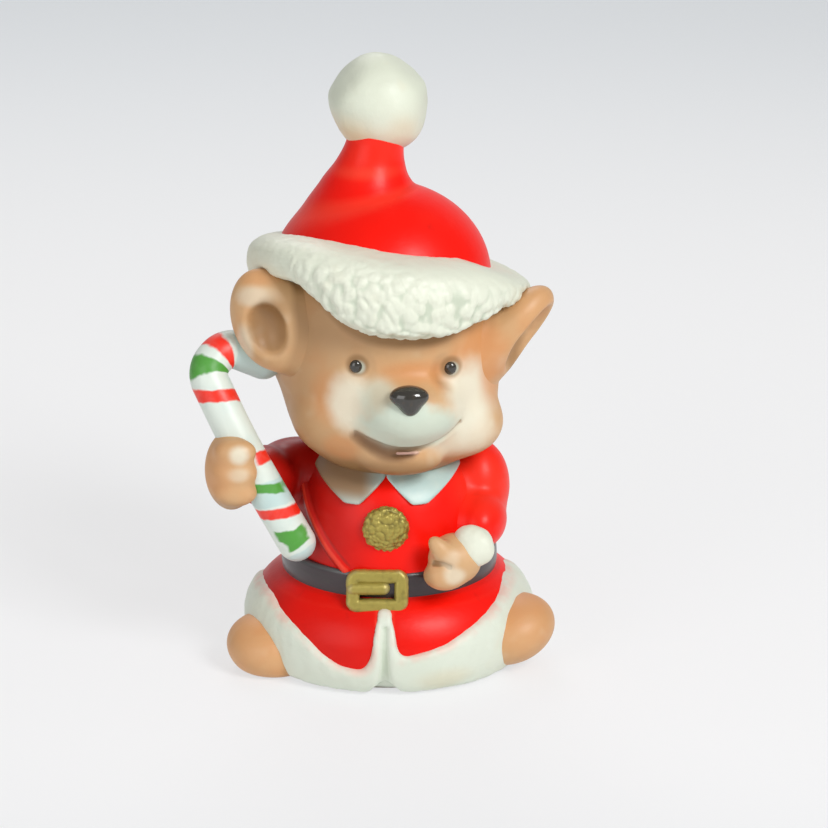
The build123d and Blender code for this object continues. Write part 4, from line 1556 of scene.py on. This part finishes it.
class MakeBelt(Operator):
    """Make the belt, its buckle and the buckle's tongue"""

    bl_idname = "figurine.make_belt"
    bl_label = "Belt and buckle"

    def execute(self, context):
        coat, trim = context.scene.figurine_coat, context.scene.figurine_trim
        belt = belt_form(coat, trim).without(belt_form(coat, trim, -BELT_WALL))
        make_piece("belt", belt, casting_step(True), "belt_brown", belt_finish())
        centre, half_sizes, bar = mm(trim.buckle_middle), mm(trim.buckle_half), mm(trim.buckle_bar)
        matrix = turned((-trim.buckle_lean, 0.0, 0.0))

        def ring(p):
            local = (p - centre) @ matrix
            rim = rectangle(local[:, 0], local[:, 2], half_sizes[0], half_sizes[2], BUCKLE_CORNER)
            return rectangle(rim, local[:, 1], bar, half_sizes[1], BUCKLE_ROUNDING)
        reach = half_sizes + bar + 0.5
        ring_form = Form(ring, centre - reach, centre + reach)
        finish = gold_finish()
        make_piece("buckle_frame", ring_form, BUCKLE_STEP, "antique_gold", finish,
                   BUCKLE_RELIEF, BUCKLE_TUFTS)
        start = np.array((-half_sizes[0], -0.5, 0.5))
        ends = (0.0, mm(trim.tongue_length))
        tongue = [centre + matrix @ (start + (along, 0.2 * along / 5, 0)) for along in ends]
        form = rod(tongue, mm(trim.tongue_radius) * 1.15)
        make_piece("buckle_prong", form, BUCKLE_STEP, "antique_gold", finish)
        return {"FINISHED"}


class MakeButton(Operator):
    """Make the nugget-textured chest button"""

    bl_idname = "figurine.make_button"
    bl_label = "Chest button"

    def execute(self, context):
        coat, trim = context.scene.figurine_coat, context.scene.figurine_trim
        across, _, height = mm(trim.button_middle)
        centre = on_front(bodice_form(coat), across, height)
        form = ellipsoid(centre, mm(trim.button_half), (BUTTON_LEAN, 0.0, 0.0))
        make_piece("chest_button", form, BUTTON_STEP, "antique_gold", gold_finish(), BUTTON_RELIEF)
        return {"FINISHED"}


class MakeHead(Operator):
    """Make the head with its mouth, and the nose and eyes"""

    bl_idname = "figurine.make_head"
    bl_label = "Head and face"

    def execute(self, context):
        head, hat = context.scene.figurine_head, context.scene.figurine_hat
        whole = head_form(head)
        nose = mm(head.nose_middle)
        lip = [nose[[0, 2]] + np.array(shares) * mm(head.nose_half)[0] for shares in LIP_SHARES]
        line = front_line(whole, lip)
        widths = np.interp(np.linspace(0, 1, len(line)), *zip(*GROOVE_SHARES))
        face = whole.joined(ellipsoid(*CHIN), 2.2)
        face = face.without(rod(line, mm(head.mouth_groove) * widths), 0.7)
        # The mouth is open under the right half of the groove, with the lower lip in front of it
        opening = line[:len(line) // 2] - OPENING_SHIFT
        gape = rod(opening, 0.35 + 0.75 * np.sin(np.linspace(0.25, math.pi, len(opening))))
        lower_lip = rod(line[15:22] - LOWER_LIP_SHIFT, LOWER_LIP_RADIUS)
        face = face.without(gape, 0.7).joined(lower_lip, 0.5)
        for eye in (mm(head.eye_right_middle), mm(head.eye_left_middle)):
            socket = on_front(whole, eye[0], eye[2]) + HOLLOW_SHIFT
            face = face.without(ellipsoid(socket, EYE_HOLLOW), 1.6)
        face = face.within(below(mm(hat.seat) + 1.0))
        marks = {"mouth": gape.grown(0.35), "lip": lower_lip, "shade": band_form(hat).grown(1.4)}
        make_piece("head_shell", face, casting_step() * 0.85, "fur_tan", face_finish(), marks=marks)
        self.make_nose(head, whole)
        for side in SIDES:
            eye = mm(getattr(head, f"eye_{side}_middle"))
            form = ellipsoid(on_front(face, eye[0], eye[2]), mm(head.eye_half))
            make_piece("eye_" + side, form, EYE_STEP, "gloss_black", black_finish())
        return {"FINISHED"}

    def make_nose(self, head, whole):
        """A rounded triangle, broad at its top."""
        across, _, height = mm(head.nose_middle)
        wide, deep, tall = mm(head.nose_half)
        centre = on_front(whole, across, height)
        top = ellipsoid(centre + (0, 0, 0.30 * tall), (wide, deep, 0.72 * tall))
        tip = ellipsoid(centre + (0.2, 0.2, -0.50 * tall), (0.40 * wide, 0.8 * deep, 0.52 * tall))
        make_piece("nose", top.joined(tip, 2.0), NOSE_STEP, "gloss_black", black_finish())


class MakeEars(Operator):
    """Make the two cupped ears"""

    bl_idname = "figurine.make_ears"
    bl_label = "Ears"

    def execute(self, context):
        head = context.scene.figurine_head
        skull = head_form(head)
        marks = {"root": skull.grown(1.5), "shade": band_form(context.scene.figurine_hat).grown(1.4)}
        wide, deep, tall = mm(head.ear_half)
        # Each cup's shift from its ear's middle and its half sizes
        cups = {
            RIGHT: ((0.7, -0.98 * deep, -0.9), (wide - 2.9, 0.85 * deep, tall - 4.2)),
            LEFT: ((0.0, -0.9 * deep, 0.3), (wide - 1.8, deep, tall - 1.8)),
        }
        # How softly each ear's foot meets the head, and how far it spreads
        roots = {RIGHT: (3.4, 3.0), LEFT: (4.6, 4.2)}
        for side in SIDES:
            name = "ear_" + side
            shift, half_sizes = cups[side]
            cup = ellipsoid(ear_place(head, side, shift), half_sizes, getattr(head, name + "_turn"))
            form = ear_whole(head, side).without(cup, 1.2).rooted(skull, *roots[side])
            finish = tan_finish(name + "_tan", self.spots(head, side), on_head=True)
            make_piece(name, form, casting_step(True), "fur_tan", finish, marks=marks)
        return {"FINISHED"}

    def spots(self, head, side):
        """A brown hollow with a darker arc of painted shade, and a pale rim with painted highlights."""
        def at(*shift):
            return tuple(map(float, ear_place(head, side, shift)))
        if side == RIGHT:
            return (
                ("orange", at(0.0, -1.0, 8.6), (6.0, 4.0, 1.8), 0.35),
                # Painted highlights on the rim
                ("cream", at(-0.5, -3.6, 5.4), (4.4, 2.5, 1.7), 0.45),
                ("cream", at(-4.2, -3.0, -3.0), (1.5, 3.0, 3.6), 0.55),
                # Brown paint in the hollow, and a darker arc of painted shade under its upper rim
                ("brown", at(0.4, -1.6, -1.0), (3.9, 2.4, 4.8), 0.6),
                ("brown", at(1.9, -2.4, 1.6), (2.2, 2.0, 3.2), 0.8),
            )
        return (
            LEFT_TEMPLE,
            ("orange", at(-3.0, -2.0, 5.0), (5.0, 4.0, 6.0), 0.3),
            # Brown paint and painted shade in the hollow
            ("brown", at(1.2, -1.2, -2.0), (2.6, 2.4, 5.4), 0.7),
        )


class MakeHat(Operator):
    """Make the hat's crown, its fur band and its pompom"""

    bl_idname = "figurine.make_hat"
    bl_label = "Hat"

    def execute(self, context):
        head, hat = context.scene.figurine_head, context.scene.figurine_hat
        down = turned(hat.band_turn) @ np.array((0.0, 0.0, -1.0))
        crown = crown_form(hat).within(facet(mm(hat.band_middle), down, -mm(hat.rest)))
        dome, tip = egg(hat, "crown"), tip_form(hat)

        # The fold where the dome meets the tip is marked for a painted highlight
        def fold_distance(p):
            return 1.3 * abs(dome.distance(p) - tip.distance(p)) - 0.9
        fold = Form(fold_distance, crown.low, crown.high)
        make_piece("hat_crown", crown, casting_step(), "coat_red", red_finish(), marks={"fold": fold})
        band = band_form(hat)
        for side in SIDES:
            band = band.without(ear_whole(head, side), 0.6)
        band = band.without(egg(hat, "crown").grown(-2.5))
        finish = fur_finish("band_white", BAND_STAINS, wash=0.08)
        make_piece("hat_band", band, casting_step(True), "trim_white", finish, BAND_RELIEF, self.band_tufts)
        self.make_pompom(hat)
        return {"FINISHED"}

    def make_pompom(self, hat):
        """A ball flattened on four sides, with beige patches low on its front that are partly painted shade.
        """
        centre, radius = mm(hat.pompom_middle), mm(hat.pompom_radius)
        pompom = ellipsoid(centre, (radius * 1.04, radius, radius))
        for direction, reach in POMPOM_FACETS:
            pompom = pompom.within(facet(centre, direction, reach * radius), 1.6)
        # Beige patches, partly painted shade low on the pompom, most on its left, away from the light
        stains_and_shade = (
            (near(hat.pompom_middle, -4.5, -3.0, -5.0), (5.0, 7.0, 4.0), 0.7),
            (near(hat.pompom_middle, 4.0, -6.0, -4.5), (3.0, 4.0, 3.5), 0.3),
        )
        finish = fur_finish("pompom_white", stains_and_shade, wash=0.22)
        make_piece("hat_pompom", pompom, casting_step(True), "trim_white", finish,
                   POMPOM_RELIEF, POMPOM_TUFTS)

    def band_tufts(self, points):
        """Full relief on the front and low on the roll, smooth on its top and over the right ear."""
        hat = bpy.context.scene.figurine_hat
        local = (points - mm(hat.band_middle)) @ turned(hat.band_turn)
        high = np.clip((5.6 - local[:, 2] - 0.08 * local[:, 0]) / 3.5, 0, 1)
        away = np.clip((local[:, 0] + 20) / 14.0, 0, 1)
        return 0.16 + 0.84 * high * away


class MakeArms(Operator):
    """Make the two sleeves and their fur cuffs"""

    bl_idname = "figurine.make_arms"
    bl_label = "Sleeves and cuffs"

    def execute(self, context):
        arms, coat = context.scene.figurine_arms, context.scene.figurine_coat
        bodice = bodice_form(coat)
        for side in SIDES:
            sleeve = egg(arms, "upper_" + side).joined(egg(arms, "fore_" + side), 1.6)
            sleeve = sleeve.rooted(bodice, 2.0, 1.0)
            make_piece("sleeve_" + side, sleeve, casting_step(True), "coat_red", red_finish())
            name = "cuff_" + side
            make_piece(name, egg(arms, name, "cuff"), CUFF_STEP, "trim_white", fur_finish("cuff_white"),
                       CUFF_RELIEF, CUFF_TUFTS)
        return {"FINISHED"}


class MakePaws(Operator):
    """Make the fist round the cane and the hand on the coat"""

    bl_idname = "figurine.make_paws"
    bl_label = "Paws"

    def execute(self, context):
        arms = context.scene.figurine_arms
        fist = egg(arms, "fist")
        middle_finger = mm(arms.finger_middle)
        for number in range(arms.finger_count):
            rise = (number - (arms.finger_count - 1) / 2) * mm(arms.finger_spacing)
            finger = ellipsoid(middle_finger + (0, 0, rise), mm(arms.finger_half))
            fist = fist.joined(finger, 1.9)
        # Painted highlights on the fingers, an orange tint, and painted shade under the fist
        spots = (
            ("cream", near(arms.finger_middle, 0.6, -1.6, 3.6), (1.6, 1.6, 1.5), 0.8),
            ("cream", near(arms.finger_middle, 0.4, -1.8, 0.2), (1.8, 1.6, 1.2), 0.4),
            ("orange", near(arms.fist_middle, -2.0, -3.0, 1.0), (3.5, 4.0, 5.0), 0.4),
            ("brown", near(arms.fist_middle, -1.0, -2.0, -6.0), (5.0, 5.0, 2.5), 0.5),
        )
        make_piece("paw_right", fist, PAW_STEP, "fur_tan", tan_finish("paw_right_tan", spots))
        hand = egg(arms, "hand").joined(egg(arms, "folded"), 1.0).joined(egg(arms, "thumb"), 0.9)
        crease = front_line(hand, HAND_CREASE_PLACES, 12)
        hand = hand.without(rod(crease, 0.3), 0.8)
        # Painted highlights on the folded fingers and thumb, and painted shade beside the folded fingers
        spots = (
            ("cream", near(arms.folded_middle, 1.6, -2.0, 0.8), (1.8, 2.0, 1.5), 0.55),
            ("cream", near(arms.thumb_middle, 1.2, -0.6, -1.0), (1.6, 1.6, 1.6), 0.3),
            ("brown", near(arms.folded_middle, -3.2, -0.5, -0.6), (1.6, 2.6, 2.6), 0.35),
        )
        make_piece("paw_left", hand, PAW_STEP, "fur_tan", tan_finish("paw_left_tan", spots))
        return {"FINISHED"}


class MakeCane(Operator):
    """Make the striped candy cane along its route"""

    bl_idname = "figurine.make_cane"
    bl_label = "Candy cane"

    def execute(self, context):
        cane = context.scene.figurine_cane
        foot = Vector(mm(cane.foot))
        corners = [foot + Vector(shares) * mm(cane.rise) for shares in CANE_SHARES]
        corners[0] -= (corners[1] - corners[0]).normalized() * mm(cane.radius)
        corners.append(corners[-1] + (corners[-1] - corners[-2]).normalized() * 1.5)
        line = bpy.data.curves.new("cane_line", "CURVE")
        line.dimensions = "3D"
        spline = line.splines.new("BEZIER")
        stops = self.rounded(corners)
        spline.bezier_points.add(len(stops) - 1)
        for knot, (spot, before, after) in zip(spline.bezier_points, stops):
            knot.co, knot.handle_left, knot.handle_right = spot * MM, before * MM, after * MM
        spline.resolution_u = 24
        thing = bpy.data.objects.new("cane_line", line)
        context.scene.collection.objects.link(thing)
        finish = cane_finish()
        settings = {"Radius": cane.radius, "Sides": cane.sides, "Step": cane.step, "Material": finish}
        mesh = run_tree(thing, stick_tree(), settings)
        place_piece(mesh, "painted_candy_cane", "cane_stripes", finish, "candy_cane")
        return {"FINISHED"}

    def rounded(self, corners):
        """Knots with handles: each inner corner becomes an arc as long as its shorter run allows."""
        stops = [(corners[0], corners[0], corners[0])]
        for before, corner, after in zip(corners, corners[1:], corners[2:]):
            run_in, run_out = corner - before, after - corner
            reach = 0.45 * min(run_in.length, run_out.length)
            start = corner - run_in.normalized() * reach
            end = corner + run_out.normalized() * reach
            pull = 0.552 + 0.1 * (1 - run_in.angle(run_out) / math.pi)
            stops.append((start, start, start.lerp(corner, pull)))
            stops.append((end, end.lerp(corner, pull), end))
        return stops + [(corners[-1], corners[-1], corners[-1])]


class MakeStage(Operator):
    """Set the floor, the lights, the background and the camera"""

    bl_idname = "figurine.make_stage"
    bl_label = "Stage"

    def execute(self, context):
        self.make_floor(context)
        for lamp in LAMPS:
            self.add_lamp(*lamp)
        self.set_world(context.scene)
        self.set_camera(context.scene)
        context.scene.view_settings.view_transform = "Standard"
        return {"FINISHED"}

    def make_floor(self, context):
        """A pale floor that curves up behind the figurine."""
        profile = [(FLOOR_FRONT, 0.0), (FLOOR_BEND, 0.0)]
        for step in range(1, BEND_STEPS + 1):
            angle = math.radians(90 * step / BEND_STEPS)
            back, up = BEND_RADIUS * math.sin(angle), BEND_RADIUS * (1 - math.cos(angle))
            profile.append((FLOOR_BEND + back, up))
        profile.append((FLOOR_BEND + BEND_RADIUS, WALL_TOP))
        verts = [(x, y, z) for y, z in profile for x in (-FLOOR_HALF_WIDTH, FLOOR_HALF_WIDTH)]
        faces = [(2 * i, 2 * i + 1, 2 * i + 3, 2 * i + 2) for i in range(len(profile) - 1)]
        mesh = bpy.data.meshes.new("floor")
        mesh.from_pydata(verts, [], faces)
        mesh.polygons.foreach_set("use_smooth", [True] * len(faces))
        mesh.materials.append(self.floor_finish())
        floor = bpy.data.objects.new("floor", mesh)
        context.scene.collection.objects.link(floor)

    def floor_finish(self):
        """Pale paper, with painted shade far back and at the front, lifted towards an even tone where the
        camera or a gloss sees it.
        """
        p = paints()
        f = Finish("floor_paper", 0.9)
        # Painted shade: the floor darkens far back and towards its front
        base = f.mix(p.backdrop, p.backdrop_far, f.ease(f.y, 150.0, 700.0))
        base = f.mix(base, p.backdrop_far, f.ease(f.y, -40.0, -130.0) * 0.45)
        f.lay(base)
        rays = f.node("ShaderNodeLightPath").outputs
        seen = Value(f, rays["Is Camera Ray"])
        for other in ("Is Glossy Ray", "Is Transmission Ray"):
            seen = seen.at_least(rays[other])
        sockets = {"Base Color": (0.0, 0.0, 0.0), "Specular IOR Level": 0.0}
        sockets.update({"Emission Color": base, "Emission Strength": 1.0})
        glow = f.node("ShaderNodeBsdfPrincipled", {}, sockets).outputs[0]
        sockets = {0: seen * FLOOR_GLOW, 1: f.shader.outputs[0], 2: glow}
        mixed = f.node("ShaderNodeMixShader", {}, sockets).outputs[0]
        output = next(node for node in f.tree.nodes if node.type == "OUTPUT_MATERIAL")
        f.tree.links.new(mixed, output.inputs["Surface"])
        return f.material

    def add_lamp(self, name, place, size, power):
        """A soft square lamp that faces the figurine's middle."""
        lamp = bpy.data.lights.new(name, "AREA")
        lamp.size = size
        lamp.energy = power
        thing = bpy.data.objects.new(name, lamp)
        thing.location = place
        aim = Vector(LAMP_TARGET) - Vector(place)
        thing.rotation_euler = aim.to_track_quat("-Z", "Y").to_euler()
        bpy.context.scene.collection.objects.link(thing)

    def set_world(self, scene):
        world = bpy.data.worlds.new("studio")
        world.use_nodes = True
        background = world.node_tree.nodes["Background"]
        background.inputs["Color"].default_value = WORLD_COLOUR
        background.inputs["Strength"].default_value = WORLD_STRENGTH
        scene.world = world

    def set_camera(self, scene):
        """The photograph's view: from the front, a little above, and far enough away to flatten."""
        camera = bpy.data.cameras.new("camera")
        camera.sensor_width = 36.0
        camera.lens = camera.sensor_width / 2 * CAMERA_AWAY / HALF_FRAME
        camera.clip_start = 0.01
        thing = bpy.data.objects.new("camera", camera)
        back = Vector((0.0, -math.cos(CAMERA_RISE), math.sin(CAMERA_RISE)))
        thing.location = Vector(CAMERA_TARGET) + back * CAMERA_AWAY
        thing.rotation_euler = (math.radians(90) - CAMERA_RISE, 0.0, 0.0)
        scene.collection.objects.link(thing)
        scene.camera = thing


OPERATORS = (
    MakeBase, MakeSkirt, MakeFeet, MakeBodice, MakeBelt, MakeButton, MakeHead, MakeEars,
    MakeHat, MakeArms, MakePaws, MakeCane, MakeStage,
)


class FigurinePanel(Panel):
    """Buttons that make the figurine piece by piece"""

    bl_idname = "VIEW3D_PT_figurine"
    bl_label = "Porcelain Figurine"
    bl_space_type = "VIEW_3D"
    bl_region_type = "UI"
    bl_category = "Figurine"

    def draw(self, context):
        for operator in OPERATORS:
            self.layout.operator(operator.bl_idname)
        for attribute, group in GROUPS.items():
            box = self.layout.box()
            box.label(text=group.__doc__)
            for name in group.__annotations__:
                box.prop(getattr(context.scene, attribute), name)


def register():
    for cls in (*GROUPS.values(), *OPERATORS, FigurinePanel):
        bpy.utils.register_class(cls)
    for attribute, group in GROUPS.items():
        setattr(bpy.types.Scene, attribute, PointerProperty(type=group))


def unregister():
    for attribute in GROUPS:
        delattr(bpy.types.Scene, attribute)
    for cls in reversed((*GROUPS.values(), *OPERATORS, FigurinePanel)):
        bpy.utils.unregister_class(cls)


def main():
    register()
    for operator in OPERATORS:
        group, name = operator.bl_idname.split(".")
        getattr(getattr(bpy.ops, group), name)()


if __name__ == "__main__":
    main()
